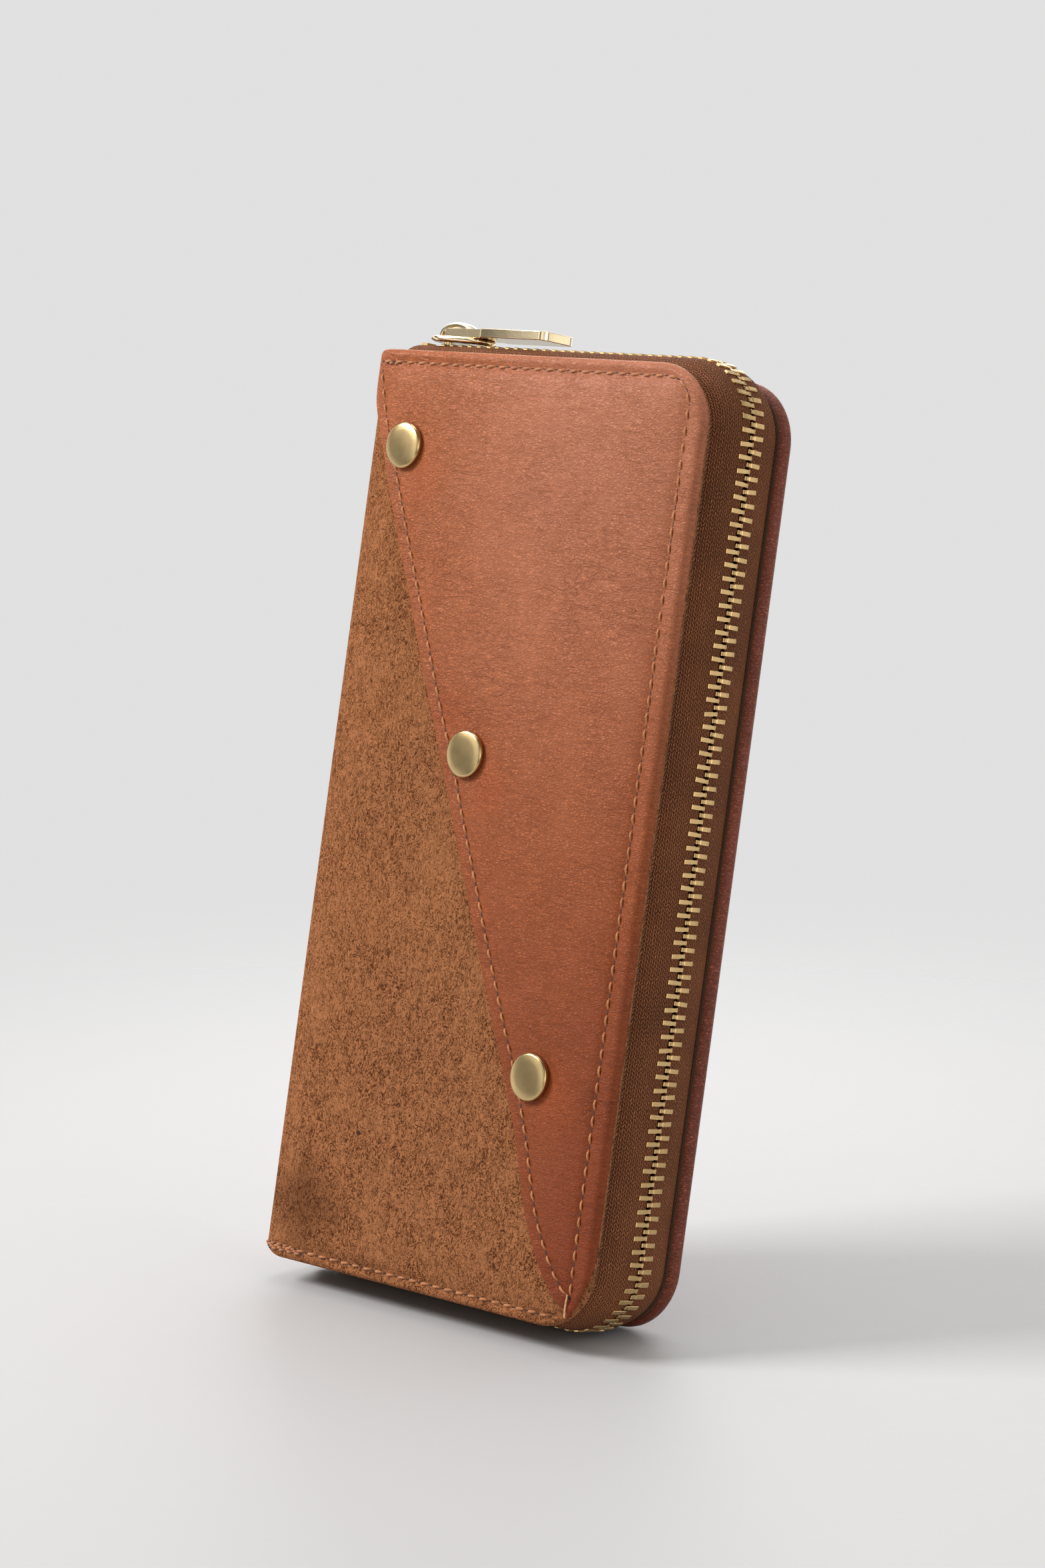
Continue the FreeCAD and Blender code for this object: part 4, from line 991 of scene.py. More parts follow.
    def build(self) -> None:
        """Builds the front."""
        for piece in (self.build_suede(), self.build_flap(), self.build_rivets()):
            LOG.info("%s: %d points", piece.name, len(piece.data.vertices))
        self.build_sewing()


def tube(name: str, path: Array, radius: float, material: bpy.types.Material) -> bpy.types.Object:
    """A closed round tube along a path of points."""
    way = np.gradient(path, axis=0)
    way /= np.linalg.norm(way, axis=1, keepdims=True)
    side = np.cross(way, np.array([0.0, 1.0, 0.0]))
    side /= np.linalg.norm(side, axis=1, keepdims=True)
    other = np.cross(side, way)
    ring = np.linspace(0, 2 * math.pi, 9)[:-1]
    spread = side[:, None] * np.cos(ring)[None, :, None] + other[:, None] * np.sin(ring)[None, :, None]
    points = np.vstack([(path[:, None] + radius * spread).reshape(-1, 3), path[:1], path[-1:]])
    count = len(path) * 8
    turn = np.arange(8)
    caps = np.vstack([np.stack([turn, (turn + 1) % 8, turn * 0 + count], -1),
                      np.stack([count - 8 + (turn + 1) % 8, count - 8 + turn, turn * 0 + count + 1], -1)])
    faces = grid_faces(len(path), 8, True, True)
    faces = np.vstack([faces[:, [0, 1, 2]], faces[:, [0, 2, 3]], caps])
    piece = make_piece(name, points, faces, material)
    mend_normals(piece)
    return piece


def mend_normals(piece: bpy.types.Object) -> None:
    """Turns a closed shape's faces outwards."""
    build = bmesh.new()
    build.from_mesh(piece.data)
    bmesh.ops.recalc_face_normals(build, faces=build.faces)
    build.to_mesh(piece.data)
    build.free()


# ---------------------------------------------------------------- back


@dataclass
class BackCover:
    """The plain leather back and its sewing."""

    shape: Shape
    finishes: dict[str, bpy.types.Material]
    sewing: Sewing
    puff: float = 0.8 * MM
    margin: float = 3.2 * MM
    lap: float = 2.4 * MM

    def __post_init__(self) -> None:
        """Works out the stitch line."""
        cover = self.shape.cover
        self.seam = Outline(cover.right - 4.2 * MM, cover.low + 2.8 * MM, cover.high - 2.8 * MM, 9.4 * MM)

    def height(self, s: Array, z: Array) -> Array:
        """The back's height: level at its rim, a dip along the seams and a swell inside them, rounded down as
        a quarter circle at its edge, which laps round the spine's edge."""
        x = s + self.shape.flat_start
        near = s + self.lap
        depth = np.minimum(self.seam.depth(x, z), near - self.margin)
        swell = self.puff * (1 - np.exp(-np.maximum(depth, 0) / (6 * MM)))
        dip = 0.28 * MM * np.exp(-(depth / (0.85 * MM)) ** 2)
        skin = self.shape.skin
        turn = np.sqrt(np.clip(1 - (1 - np.clip(near / skin, 0, 1)) ** 2, 0, 1))
        wave = 0.10 * MM * ripple(s, z, 21, 34 * MM) * smoothstep(depth, 0, 8 * MM)
        return swell - dip - skin * (1 - turn) + wave

    def build(self) -> None:
        """Builds the back's leather and its seams."""
        shape = self.shape
        edge = Edge(1.8 * MM, 4 * MM)
        inner = shape.cover.inset(edge.round)
        rows = inner.heights(1.4 * MM)
        right = inner.edge(rows)[0] - shape.flat_start
        rim = np.array([0, 0.04, 0.15, 0.32, 0.55, 0.8, 1.1]) * MM - self.lap
        spread = rim[-1] + (right[:, None] - rim[-1]) * np.linspace(0, 1, 96)[1:]
        s = np.hstack([np.tile(rim, (len(rows), 1)), spread])
        z = np.tile(rows[:, None], (1, s.shape[1]))
        points, uv, size = wrapped_sheet(s, z, edge, inner, shape.back_face, self.height)
        piece = make_piece("leather_back", points, grid_faces(*size, flip=True), self.finishes["back"], uv)
        add_thickness(piece, 0.75 * MM)
        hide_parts("back_leather_panel")
        x, line = self.seam.walk(shape.flat_start + 1.2 * MM, shape.flat_start + 1.2 * MM, 1600)
        made = [piece]
        made += self.sewing.sew("seam_round_back", x - shape.flat_start, line, shape.back_face, self.height,
                                self.finishes["thread"], self.finishes["hole"])
        down = np.linspace(self.seam.high, self.seam.low, 60)
        made += self.sewing.sew("seam_down_back", np.full(60, self.margin - self.lap), down, shape.back_face,
                                self.height, self.finishes["thread"], self.finishes["hole"])
        for part in made:
            shape.fold(part, 1)
        LOG.info("%s: %d points", piece.name, len(piece.data.vertices))


# ---------------------------------------------------------------- zip


@dataclass
class ZipSide:
    """Half of the main zip: its tape and its row of teeth. side is -1 for the front and 1 for the back."""

    shape: Shape
    finishes: dict[str, bpy.types.Material]
    side: int
    sunk: float = 0.9 * MM
    inner_edge: float = 0.75 * MM
    wall: float = 4.3 * MM
    lip: float = 2.1 * MM
    hem: tuple[float, float, float] = (5.5 * MM, 3.6 * MM, 2.6 * MM)
    pitch: float = 2.65 * MM
    count: int = 133
    first: float = 7.8 * MM

    @property
    def body(self) -> str:
        """The cover that this half is sewn to."""
        return "front_cover" if self.side < 0 else "back_cover"

    @property
    def name(self) -> str:
        """front or back."""
        return "front" if self.side < 0 else "back"

    def blend(self, piece: bpy.types.Object) -> None:
        """Bakes the half's transform into its mesh."""
        start = Vector((self.shape.spine + 22 * MM, self.shape.middle + self.side * 2 * MM, 0.1))
        end = start + Vector((1.3 * MM, self.side * 5.9 * MM, 0))
        self.body
        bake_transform(piece)

    def loop(self, outline: Outline, start: float) -> tuple[Array, Array]:
        """Points and outward directions along a line round three sides, at matching places on any outline."""
        corner = np.linspace(0, math.pi / 2, 26)
        cx, top, low = outline.right - outline.turn, outline.high - outline.turn, outline.low + outline.turn
        run = np.linspace(0, 1, 50)[:-1]
        side = np.linspace(0, 1, 90)[1:-1]
        nx = np.concatenate([0 * run, np.sin(corner), 0 * side + 1, np.cos(corner), 0 * run])
        nz = np.concatenate([0 * run + 1, np.cos(corner), 0 * side, -np.sin(corner), 0 * run - 1])
        x = np.concatenate([start + (cx - start) * run, cx + outline.turn * np.sin(corner),
                            0 * side + outline.right, cx + outline.turn * np.cos(corner),
                            cx + (start - cx) * (run + 1 / 50)])
        z = np.concatenate([0 * run + outline.high, top + outline.turn * np.cos(corner),
                            top + (low - top) * side, low - outline.turn * np.sin(corner),
                            0 * run + outline.low])
        return np.stack([x, z], -1), np.stack([nx, nz], -1)

    def build_tape(self) -> bpy.types.Object:
        """The tape: it leaves the cover's inner edge and rises in a round shoulder to the chain. Across it,
        the share of the way from the cover's line to the chain's is one less the remaining distance cubed."""
        shape, side = self.shape, self.side
        start = shape.spine + 2.6 * MM
        edge, normal = self.loop(shape.cover, start)
        top, _ = self.loop(shape.chain, start)
        wall = shape.face + self.wall if side < 0 else shape.back - self.wall
        near = shape.middle + side * self.inner_edge
        across = np.linspace(0, 1, 26)
        share = 1 - (1 - across) ** 3
        y = wall + (near - wall) * across
        lines = (edge - normal * self.lip)[:, None] * (1 - share)[None, :, None] \
            + (top - normal * self.sunk)[:, None] * share[None, :, None]
        hems = edge[:, None] - normal[:, None] * np.array(self.hem)[None, :, None]
        flat = np.concatenate([hems, lines], 1)
        ys = np.concatenate([np.full(3, wall + side * 0.1 * MM), y])
        points = np.stack([flat[..., 0], np.tile(ys, (len(flat), 1)), flat[..., 1]], -1)
        far = np.concatenate([[0], np.cumsum(np.linalg.norm(np.diff(top, axis=0), axis=1))])
        wide = np.linalg.norm(np.diff(points[len(points) // 2], axis=0), axis=1)
        wide = np.concatenate([[0], np.cumsum(wide)])
        uv = np.stack(np.meshgrid(far, wide, indexing="ij"), -1)
        faces = grid_faces(*points.shape[:2], flip=side > 0)
        piece = make_piece(f"zip_tape_{self.name}_woven", points, faces, self.finishes["tape"], uv)
        add_thickness(piece, 0.55 * MM)
        self.blend(piece)
        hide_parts(f"zip_tape_{self.name}")
        return piece

    def tooth(self) -> tuple[Array, Array]:
        """One tooth: rings of eight points from its tail, which holds the tape, to its head. Each ring is a
        rounded box whose width and height follow the tooth's length, with a slight waist before the head."""
        across = np.array([-3.25, -3.12, -2.3, -0.75, -0.60, 0.05, 0.52, 0.66]) * MM
        half = np.array([0.44, 0.50, 0.52, 0.52, 0.43, 0.43, 0.47, 0.38]) * MM
        top = np.array([-0.12, -0.03, 0.0, 0.0, -0.10, -0.10, -0.02, -0.14]) * MM
        base = np.array([-1.2, -1.6, -1.9, -2.0, -1.8, -1.6, -1.6, -1.3]) * MM
        lean = np.array([-1.0, -1.0, -0.82, 0.82, 1.0, 1.0, 0.72, -0.72])
        lift = np.array([0.12, 0.93, 1.0, 1.0, 0.93, 0.12, 0.0, 0.0])
        points = np.stack([half[:, None] * lean, np.tile(across[:, None], (1, 8)),
                           base[:, None] + (top - base)[:, None] * lift], -1).reshape(-1, 3)
        caps = [[0, 1, 2, 3], [0, 3, 4, 5], [0, 5, 6, 7],
                [59, 58, 57, 56], [61, 60, 59, 56], [63, 62, 61, 56]]
        return points, np.vstack([grid_faces(8, 8, True, True), np.array(caps)])

    def build_teeth(self) -> bpy.types.Object:
        """The row of teeth along the chain, half a pitch on from the other side's."""
        shape = self.shape
        bend_x, bend_z = shape.chain.bends(400)
        x = np.concatenate([[shape.spine], bend_x, [shape.spine]])
        z = np.concatenate([[shape.chain.high], bend_z, [shape.chain.low]])
        far = np.concatenate([[0], np.cumsum(np.hypot(np.diff(x), np.diff(z)))])
        at = self.first + self.pitch * (np.arange(self.count) + (0.5 if self.side > 0 else 0))
        spot = np.stack([np.interp(at, far, x), np.full(len(at), shape.middle), np.interp(at, far, z)], -1)
        ahead = np.stack([np.interp(at + 0.1 * MM, far, x), spot[:, 1], np.interp(at + 0.1 * MM, far, z)], -1)
        way = ahead - spot
        way /= np.linalg.norm(way, axis=1, keepdims=True)
        out = np.stack([-way[:, 2], 0 * way[:, 0], way[:, 0]], -1)
        across = np.tile([0.0, 1.0, 0.0], (len(at), 1))
        draw = np.random.default_rng(31 + self.side)
        tilt = draw.normal(0, 0.03, (len(at), 1))
        axes = np.stack([way + across * tilt, across - way * tilt, out], 1)
        if self.side > 0:
            axes = axes * np.array([-1, -1, 1])[None, :, None]
        points, faces = copies(*self.tooth(), spot, axes)
        piece = make_piece(f"zip_teeth_{self.name}_row", points, faces, self.finishes["teeth"], smooth=False)
        mend_normals(piece)
        self.blend(piece)
        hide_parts(f"zip_teeth_{self.name}")
        return piece

    def build(self) -> None:
        """Builds the tape and the teeth."""
        for piece in (self.build_tape(), self.build_teeth()):
            LOG.info("%s: %d points", piece.name, len(piece.data.vertices))


def softened_copy(node: str, name: str, body: str, width: float,
                  material: bpy.types.Material) -> bpy.types.Object:
    """A CAD node's solid with its edges rounded.

    Args:
        node: the CAD node.
        name: the new piece's name.
        body: what it rides on.
        width: the rounding, in metres.
        material: its finish.

    Returns:
        The new piece, which replaces the node.
    """
    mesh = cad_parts[node].data.copy()
    mesh.name = name
    build = bmesh.new()
    build.from_mesh(mesh)
    bmesh.ops.remove_doubles(build, verts=build.verts, dist=0.001 * MM)
    bmesh.ops.dissolve_limit(build, angle_limit=math.radians(2), verts=build.verts, edges=build.edges)
    build.to_mesh(mesh)
    build.free()
    mesh.materials.clear()
    mesh.materials.append(material)
    mesh.polygons.foreach_set("use_smooth", np.full(len(mesh.polygons), True))
    mesh.set_sharp_from_angle(angle=math.radians(24))
    piece = bpy.data.objects.new(name, mesh)
    bpy.context.scene.collection.objects.link(piece)
    bevel = piece.modifiers.new("soft_edges", "BEVEL")
    bevel.width, bevel.segments, bevel.limit_method, bevel.angle_limit = width, 3, "ANGLE", math.radians(28)
    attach(piece, body)
    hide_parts(node)
    return piece


@dataclass
class Slider:
    """The main zip's slider: two plates joined by a post at the nose, with an arched bridge on top."""

    shape: Shape
    metal: bpy.types.Material
    edge: float = 0.35 * MM
    upper_thick: float = 1.1 * MM
    under_thick: float = 1.0 * MM
    crown: float = 3.4 * MM
    band: float = 0.55 * MM
    band_wide: float = 1.55 * MM
    arch_reach: float = 4.3 * MM
    arch_middle: float = 5.1 * MM
    post_in: float = 1.9 * MM
    post_long: float = 1.1 * MM
    post_wide: float = 0.55 * MM

    def plate(self, low: float, high: float) -> tuple[Array, Array]:
        """A plate between two heights. Its plan is widest at the nose and narrows to the tail: half the width
        is a power curve of the length, and each ring is the plan drawn in from its middle."""
        (x0, y0, _), (x1, y1, _) = self.low, self.high
        t = np.concatenate([np.linspace(0, 1, 25), np.linspace(1, 0, 25)[1:-1]])
        side = np.concatenate([np.ones(25), -np.ones(23)])
        round_end = (1 - np.abs(2 * t - 1) ** 5) ** 0.4
        half = (y1 - y0) / 2 * (1 - 0.3 * smoothstep(t, 0.25, 0.95)) * round_end
        plan = np.stack([x0 + (x1 - x0) * t, (y0 + y1) / 2 + side * half], -1)
        middle = plan.mean(0)
        pull = np.array([0.0, 0.6, 0.93, 0.98, 1.0, 1.0, 0.98, 0.93, 0.6, 0.0])
        e = self.edge
        rise = np.array([low, low, low, low + 0.3 * e, low + e, high - e, high - 0.3 * e, high,
                         high + 0.1 * MM, high + 0.14 * MM])
        rings = middle + (plan - middle)[None] * pull[:, None, None]
        points = np.concatenate([rings, np.tile(rise[:, None, None], (1, len(plan), 1))], -1)
        return points.reshape(-1, 3), grid_faces(len(pull), len(plan), False, True)

    def bridge(self, foot: float) -> tuple[Array, Array]:
        """The bridge: a rounded band carried along half a flattened ring."""
        (x0, y0, _), (_, y1, z1) = self.low, self.high
        angle = np.linspace(0, math.pi, 25)
        reach, mid = self.arch_reach, x0 + self.arch_middle
        tall = z1 - foot - self.band
        path = np.stack([mid - reach * np.cos(angle), foot + tall * np.sin(angle) ** 0.8], -1)
        way = np.gradient(path, axis=0)
        way /= np.linalg.norm(way, axis=1, keepdims=True)
        out = np.stack([-way[:, 1], way[:, 0]], -1)
        turn = np.linspace(0, 2 * math.pi, 17)[:-1]
        wide = self.band_wide * np.sign(np.cos(turn)) * np.abs(np.cos(turn)) ** 0.45
        thick = self.band * np.sign(np.sin(turn)) * np.abs(np.sin(turn)) ** 0.6
        flat = path[:, None] + out[:, None] * thick[None, :, None]
        y = np.tile((y0 + y1) / 2 + wide, (len(angle), 1))
        points = np.stack([flat[..., 0], y, flat[..., 1]], -1).reshape(-1, 3)
        return points, grid_faces(len(angle), 16, False, True)

    def build(self) -> None:
        """Builds the slider in the CAD slider's box."""
        low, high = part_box("zip_slider")
        self.low, self.high = tuple(low), tuple(high)
        top = high.z - self.crown
        upper = self.plate(top - self.upper_thick, top)
        under = self.plate(low.z, low.z + self.under_thick)
        points, faces = [upper[0], under[0]], [upper[1], under[1] + len(upper[0])]
        arch = self.bridge(top - 0.1 * MM)
        faces.append(arch[1] + len(points[0]) + len(points[1]))
        points.append(arch[0])
        spot = np.linspace(0, 2 * math.pi, 17)[:-1]
        post_x = low.x + self.post_in + self.post_long * np.cos(spot)
        post_y = self.shape.middle + self.post_wide * np.sin(spot)
        ends = (low.z + 0.5 * MM, top - 0.5 * MM)
        post = np.stack([np.stack([post_x, post_y, np.full(16, z)], -1) for z in ends]).reshape(-1, 3)
        faces.append(grid_faces(2, 16, False, True) + sum(len(p) for p in points))
        points.append(post)
        piece = make_piece("zip_slider_body", np.vstack(points), np.vstack(faces), self.metal)
        close_holes(piece)
        mend_normals(piece)
        piece.data.set_sharp_from_angle(angle=math.radians(40))
        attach(piece, "zip_slider")
        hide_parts("zip_slider")
        LOG.info("%s: %d points", piece.name, len(piece.data.vertices))


def close_holes(piece: bpy.types.Object) -> None:
    """Caps a shape's open ends."""
    build = bmesh.new()
    build.from_mesh(piece.data)
    bmesh.ops.holes_fill(build, edges=build.edges, sides=0)
    build.to_mesh(piece.data)
    build.free()


# ---------------------------------------------------------------- inside


@dataclass
class Inside:
    """Linings, card pockets, coin pocket and gussets."""

    shape: Shape
    finishes: dict[str, bpy.types.Material]
    sewing: Sewing

    def sheet(self, node: str, body: str, finish: str, crown: float = 0.0,
              inset: float = 0.0) -> bpy.types.Object:
        """A soft sheet in a CAD sheet's place: a rounded slab whose thickness falls to its edges as a
        quarter circle, with its face swelling by a half sine each way.

        Args:
            node: the CAD node it stands for.
            body: the body it rides on.
            finish: the finish's name.
            crown: how far its outer face swells.
            inset: how much smaller it is at each end along Y and Z.

        Returns:
            The piece.
        """
        low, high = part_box(node)
        low, high = np.array(low) + [0, inset, inset], np.array(high) - [0, inset, inset]
        size = high - low
        thin = int(np.argmin(size))
        wide, tall = [a for a in (0, 1, 2) if a != thin]
        rim = size[thin] / 2
        lay = np.array([0, 0.08, 0.3, 0.62, 1.0]) * rim
        spread = [np.concatenate([lay, np.linspace(rim, size[a] - rim, 30)[1:-1], size[a] - lay[::-1]])
                  for a in (wide, tall)]
        u, v = np.meshgrid(*spread, indexing="ij")
        near = np.minimum(np.minimum(u, size[wide] - u), np.minimum(v, size[tall] - v))
        half = rim * np.sqrt(np.clip(1 - (1 - np.minimum(near / rim, 1)) ** 2, 0, 1))
        swell = crown * np.sin(math.pi * u / size[wide]) * np.sin(math.pi * v / size[tall])
        middle = (low[thin] + high[thin]) / 2
        layers = []
        for sign in (1, -1):
            points = np.zeros((*u.shape, 3))
            points[..., wide], points[..., tall] = low[wide] + u, low[tall] + v
            points[..., thin] = middle + sign * half + swell
            layers.append(points)
        count = u.size
        faces = np.vstack([grid_faces(*u.shape), grid_faces(*u.shape, flip=True) + count])
        uv = np.stack([u, v], -1)
        piece = make_piece(f"{node}_soft", np.stack(layers), faces, self.finishes[finish], np.stack([uv, uv]))
        mend_normals(piece)
        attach(piece, body)
        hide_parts(node)
        return piece

    def lining(self, side: str) -> None:
        """A cover's lining: a flat sheet of cloth inside the cover's outline, given the lining's thickness.
        """
        shape, node = self.shape, f"{side}_lining"
        low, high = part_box(node)
        face, fall = (high.y, low.y - high.y) if side == "front" else (low.y, high.y - low.y)
        turn = shape.cover.turn - (shape.cover.right - high.x)
        inner = Outline(high.x, low.z, high.z, turn).inset(0.1 * MM)
        rows = inner.heights(2.5 * MM)
        s = low.x + (inner.edge(rows)[0] - low.x)[:, None] * np.linspace(0, 1, 50)
        z = np.tile(rows[:, None], (1, 50))
        points = np.stack([s, np.full(s.shape, face), z], -1)
        piece = make_piece(f"{node}_cloth", points, grid_faces(*s.shape, flip=side == "front"),
                           self.finishes["lining"], np.stack([s, z], -1))
        add_thickness(piece, abs(fall))
        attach(piece, f"{side}_cover")
        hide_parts(node)

    def pocket_seam(self, node: str, body: str, out: float) -> None:
        """Sews along a card pocket's mouth."""
        low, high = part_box(node)
        face = low.y if out < 0 else high.y
        z = np.linspace(low.z + 2 * MM, high.z - 2 * MM, 60)
        x = np.full(60, high.x - 2.0 * MM)

        def flat(s: Array, t: Array, h: Array) -> Array:
            """A plane that faces along Y."""
            s, t, h = np.broadcast_arrays(s, t, h)
            return np.stack([s, face + out * h, t], -1)

        for piece in self.sewing.sew(f"{node}_seam", x, z, flat, lambda s, t: 0 * s, self.finishes["thread"],
                                     self.finishes["hole"]):
            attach(piece, body)

    def gusset(self, end: str, side: str) -> None:
        """Half a gusset: cloth from the lining to the crease, sagging between them as a half sine."""
        node = f"gusset_{end}_{side}"
        low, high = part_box(node)
        seam_y, crease_y = (low.y, high.y) if side == "front" else (high.y, low.y)
        outer, inner = (high.z, low.z) if end == "top" else (low.z, high.z)
        t = np.linspace(0, 1, 18)
        x = np.linspace(low.x, high.x, 40)
        y = seam_y + (crease_y - seam_y) * t
        z = outer + (inner - outer) * t + (outer - inner) * 0.05 * np.sin(math.pi * t)
        points = np.stack([np.tile(x[:, None], (1, 18)), np.tile(y, (40, 1)), np.tile(z, (40, 1))], -1)
        uv = np.stack(np.meshgrid(x, t * 15 * MM, indexing="ij"), -1)
        piece = make_piece(f"{node}_cloth", points, grid_faces(40, 18), self.finishes["lining"], uv)
        add_thickness(piece, 0.4 * MM, 0.0)
        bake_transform(piece)
        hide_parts(node)

    def build(self) -> None:
        """Builds everything inside."""
        for side, out in (("front", 1.0), ("back", -1.0)):
            body = f"{side}_cover"
            self.lining(side)
            for i in range(1, 5):
                node = f"{side}_card_pocket_{i}"
                self.sheet(node, body, "pocket")
                self.pocket_seam(node, body, out)
            for end in ("top", "bottom"):
                self.gusset(end, side)
        for node in ("coin_pocket_front", "coin_pocket_back", "coin_pocket_mouth_strip"):
            self.sheet(node, "spine", "coin")
        for node in ("coin_zip_tape_inner", "coin_zip_tape_outer"):
            self.sheet(node, "spine", "tape")
        self.sheet("spine_lining", "spine", "lining", inset=3.2 * MM)
        self.sheet("spine_board", "spine", "board", inset=3.0 * MM)
        LOG.info("inside built")


# ---------------------------------------------------------------- stage


@dataclass(frozen=True)
class Studio:
    """Camera, lights, backdrop colour and floor."""

    backdrop: float = 0.75
    lean: float = math.radians(11.0)
    lens: float = 98.63
    eye: tuple[float, float, float] = (0.5948, -0.63395, 0.1154)
    ahead: tuple[float, float, float] = (-0.6851, 0.7284, -0.0114)
    upright: tuple[float, float, float] = (-0.1044, -0.0827, 0.9911)
    cards: tuple[float, float, float] = (7.0, -5.0, 8.0)
    floor_colour: Colour = (0.50, 0.492, 0.49)

    def camera(self) -> None:
        """A long lens, level with the wallet and turned to its front and free edge."""
        data = bpy.data.cameras.new("camera")
        data.sensor_fit, data.sensor_height, data.lens = "VERTICAL", 36.0, self.lens
        data.clip_start, data.clip_end = 0.01, 50
        made = bpy.data.objects.new("camera", data)
        bpy.context.scene.collection.objects.link(made)
        ahead = Vector(self.ahead).normalized()
        right = ahead.cross(Vector(self.upright)).normalized()
        turn = Matrix((right, right.cross(ahead), -ahead)).transposed()
        made.matrix_world = Matrix.Translation(Vector(self.eye)) @ turn.to_4x4()
        bpy.context.scene.camera = made

    def up(self) -> Vector:
        """The floor's upward direction: the wallet leans back on its rear edge."""
        return Vector((0, -math.sin(self.lean), math.cos(self.lean)))

    def lamp(self, name: str, at: Sequence[float], size: float, power: float) -> None:
        """A square soft light that points at the wallet's middle."""
        data = bpy.data.lights.new(name, "AREA")
        data.shape, data.size, data.energy = "SQUARE", size, power
        made = bpy.data.objects.new(name, data)
        bpy.context.scene.collection.objects.link(made)
        made.location = at
        made.rotation_euler = (Vector((0, 0, 0.1)) - Vector(at)).to_track_quat("-Z", "Y").to_euler()

    def world(self) -> None:
        """A plain pale backdrop to the eye. It lights the wallet more from above than from below, and its
        reflections show soft cards: the sine of the direction's product with a vector."""
        world = bpy.data.worlds.new("studio")
        bpy.context.scene.world = world
        kit = NodeKit(world)
        way = kit.node("TexCoord").outputs["Generated"]
        _, _, high = kit.axes(way)
        soft = kit.node("MapRange", None, {0: high, 1: -0.6, 2: 0.8, 3: 0.22, 4: 0.62}).outputs[0]
        product = kit.node("VectorMath", {"operation": "DOT_PRODUCT"}, {0: way, 1: self.cards})
        wave = Value(kit, product.outputs["Value"]).sine()
        shiny = kit.node("MapRange", None, {0: wave, 1: -1.0, 2: 1.0, 3: 0.12, 4: 1.25}).outputs[0]
        ray = kit.node("LightPath").outputs
        light = kit.node("Mix", None, {0: ray["Is Glossy Ray"], 2: soft, 3: shiny}).outputs[0]
        light = kit.node("Mix", None, {0: ray["Is Camera Ray"], 2: light, 3: self.backdrop}).outputs[0]
        shine = kit.node("Background", None, {0: light})
        kit.node("OutputWorld", None, {0: shine.outputs[0]})

    def floor(self, shape: Shape) -> None:
        """A pale disc under the wallet, seen only from above, that fades into the backdrop."""
        kit = NodeKit(bpy.data.materials.new("pale_floor"))
        ring = np.linspace(0, 2 * math.pi, 65)[:-1]
        radii = np.linspace(0, 0.9, 24)
        foot = Vector((0, shape.back - 0.6 * MM, shape.cover.low - 0.1 * MM))
        up = self.up()
        side, far = Vector((1, 0, 0)), up.cross(Vector((1, 0, 0)))
        points = np.array(foot) + radii[:, None, None] * (np.cos(ring)[None, :, None] * np.array(side)
                                                         + np.sin(ring)[None, :, None] * np.array(far))
        point = kit.place()
        away = kit.node("VectorMath", {"operation": "DISTANCE"}, {0: point, 1: tuple(foot)}).outputs["Value"]
        seen = Value(kit, kit.node("NewGeometry").outputs["Backfacing"])
        hidden = Value(kit, away).ramp(0.16, 0.5)
        hidden = 1 - (1 - hidden) * (1 - seen)
        grain = kit.noise(point, 400, 3)
        shader = kit.node("BsdfPrincipled", None, {"Base Color": rgba(self.floor_colour),
                                                   "Roughness": grain * 0.1 + 0.55,
                                                   "Specular IOR Level": 0.2})
        clear = kit.node("BsdfTransparent")
        both = kit.node("MixShader", None, {0: hidden, 1: shader.outputs[0], 2: clear.outputs[0]})
        kit.node("OutputMaterial", None, {0: both.outputs[0]})
        made = make_piece("floor", points, grid_faces(24, 64, True, True), kit.owner)

    def build(self, shape: Shape) -> None:
        """Sets up the studio."""
        bpy.context.scene.view_settings.view_transform = "Standard"
        self.camera()
        self.world()
        self.floor(shape)
        self.lamp("key", (-0.62, -0.78, 0.66), 0.42, 13.0)
        self.lamp("fill", (0.95, 0.0, 0.35), 0.7, 2.3)
        self.lamp("top", (-0.1, 0.1, 0.95), 0.5, 2.5)
        self.lamp("rear", (-0.6, 0.7, 0.5), 0.5, 2.5)


# ---------------------------------------------------------------- the whole wallet


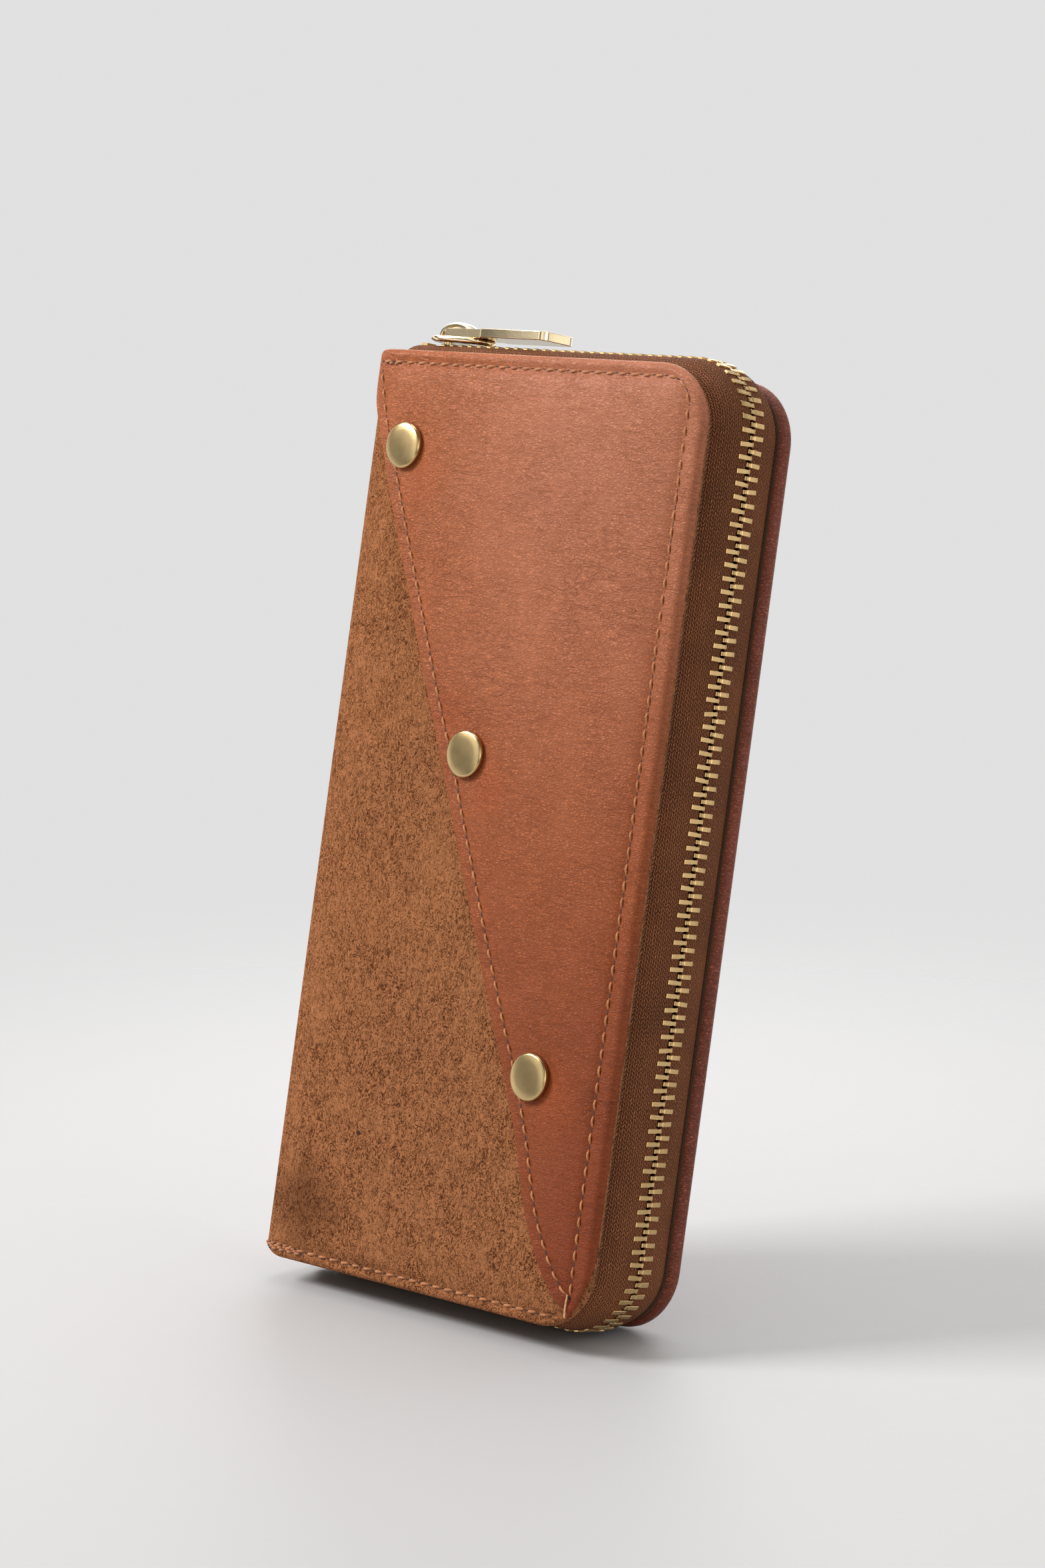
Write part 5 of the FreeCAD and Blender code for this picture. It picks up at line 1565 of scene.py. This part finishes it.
def make_finishes(shape: Shape) -> dict[str, bpy.types.Material]:
    """Every finish, by its name here. The leather's patches of painted shade and the suede's darker corner
    and speck are placed from the spine and the foot."""
    left, foot = shape.spine, shape.cover.low
    # places and reaches of the flap's patches of painted shade
    painted_shade_pools = tuple((left + in_from, foot + up, reach) for in_from, up, reach in (
        (19.7 * MM, 163 * MM, 11 * MM), (50 * MM, 102 * MM, 10 * MM), (36.5 * MM, 117 * MM, 8 * MM),
        (77.5 * MM, 44 * MM, 12 * MM)))
    finishes = {
        # the flap carries painted shade towards its foot and free edge and a painted highlight towards its
        # head
        "flap": SmoothLeather("cognac_leather", (0.42, 0.108, 0.023), (0.36, 0.083, 0.015),
                              (0.45, 0.132, 0.036), painted_light=1.0, foot=foot, head=shape.cover.high - 1 * MM,
                              side=shape.cover.right,
                              painted_shade_pools=painted_shade_pools),
        "back": SmoothLeather("red_brown_leather", (0.26, 0.060, 0.028), (0.17, 0.036, 0.017),
                              (0.31, 0.085, 0.04), 0.4),
        "suede": Suede("brown_suede", (0.220, 0.070, 0.021), (0.124, 0.036, 0.0095), (0.46, 0.183, 0.074),
                       darkened=(left + 11.5 * MM, foot + 13 * MM), speck=(left + 25 * MM, foot + 29.5 * MM)),
        "pocket": SmoothLeather("pocket_leather", (0.17, 0.062, 0.026), (0.12, 0.04, 0.016),
                                (0.21, 0.085, 0.04), 0.5),
        "tape": Woven("woven_tape", (0.44, 0.155, 0.058), (0.075, 0.024, 0.009), Weave.RIB, 0.5, 0.85, 0.0),
        "lining": Woven("twill_lining", (0.16, 0.085, 0.045), (0.08, 0.04, 0.02), Weave.TWILL, 0.5, 0.5),
        "coin": Woven("coin_pocket_cloth", (0.14, 0.075, 0.04), (0.07, 0.034, 0.018), Weave.TWILL, 0.6, 0.6),
        "teeth": Metal("tooth_brass", (0.66, 0.45, 0.205), (0.45, 0.29, 0.12), 0.27),
        "rivet": Metal("antique_brass", (0.58, 0.42, 0.20), (0.36, 0.25, 0.11), 0.2),
        "gold": Metal("pale_gold", (0.90, 0.73, 0.46), (0.80, 0.62, 0.36), 0.09, 0.15),
        "thread": Thread("orange_thread", (0.54, 0.20, 0.058), (0.26, 0.085, 0.024)),
        "loose": Thread("loose_thread", (0.78, 0.44, 0.20), (0.5, 0.24, 0.09)),
        # painted shade: the needle holes' dark lenses stand in for the shade inside the holes
        "hole": Plain("needle_hole_shade", (0.05, 0.02, 0.009)),
        "board": Plain("fibre_board", (0.3, 0.24, 0.18)),
        "foam": Plain("foam", (0.6, 0.57, 0.5)),
    }
    return {name: finish.material() for name, finish in finishes.items()}


def dress_hidden_nodes(finishes: dict[str, bpy.types.Material]) -> None:
    """Gives every CAD node that stays its finish."""
    dressed = {"board": ("front_board", "back_board"), "foam": ("front_padding", "back_padding"),
               "coin": ("coin_pocket_edging",), "rivet": ("rivet_posts",),
               "teeth": ("coin_zip_teeth_inner", "coin_zip_teeth_outer", "zip_stops")}
    for finish, names in dressed.items():
        for name in names:
            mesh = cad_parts[name].data
            mesh.materials.clear()
            mesh.materials.append(finishes[finish])


def main() -> None:
    """Builds the studio and the wallet's sub-assemblies in order."""
    logging.basicConfig(level=logging.INFO, format="%(name)s: %(message)s")
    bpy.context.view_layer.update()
    shape = Shape.from_frame()
    finishes = make_finishes(shape)
    Studio().build(shape)
    dress_hidden_nodes(finishes)
    sewing = Sewing()
    FrontCover(shape, finishes, sewing).build()
    BackCover(shape, finishes, sewing).build()
    for side in (-1, 1):
        ZipSide(shape, finishes, side).build()
    Slider(shape, finishes["gold"]).build()
    for node, name, body, slot in (("zip_pull", "zip_pull_tab", "zip_pull", "slider_metal"),
                                   ("coin_zip_slider", "coin_slider_body", "coin_slider", "coin_metal"),
                                   ("coin_zip_pull", "coin_pull_tab", "coin_pull", "coin_metal")):
        softened_copy(node, name, body, 0.28 * MM, finishes["gold"])
    Inside(shape, finishes, sewing).build()


if __name__ == "__main__":
    main()
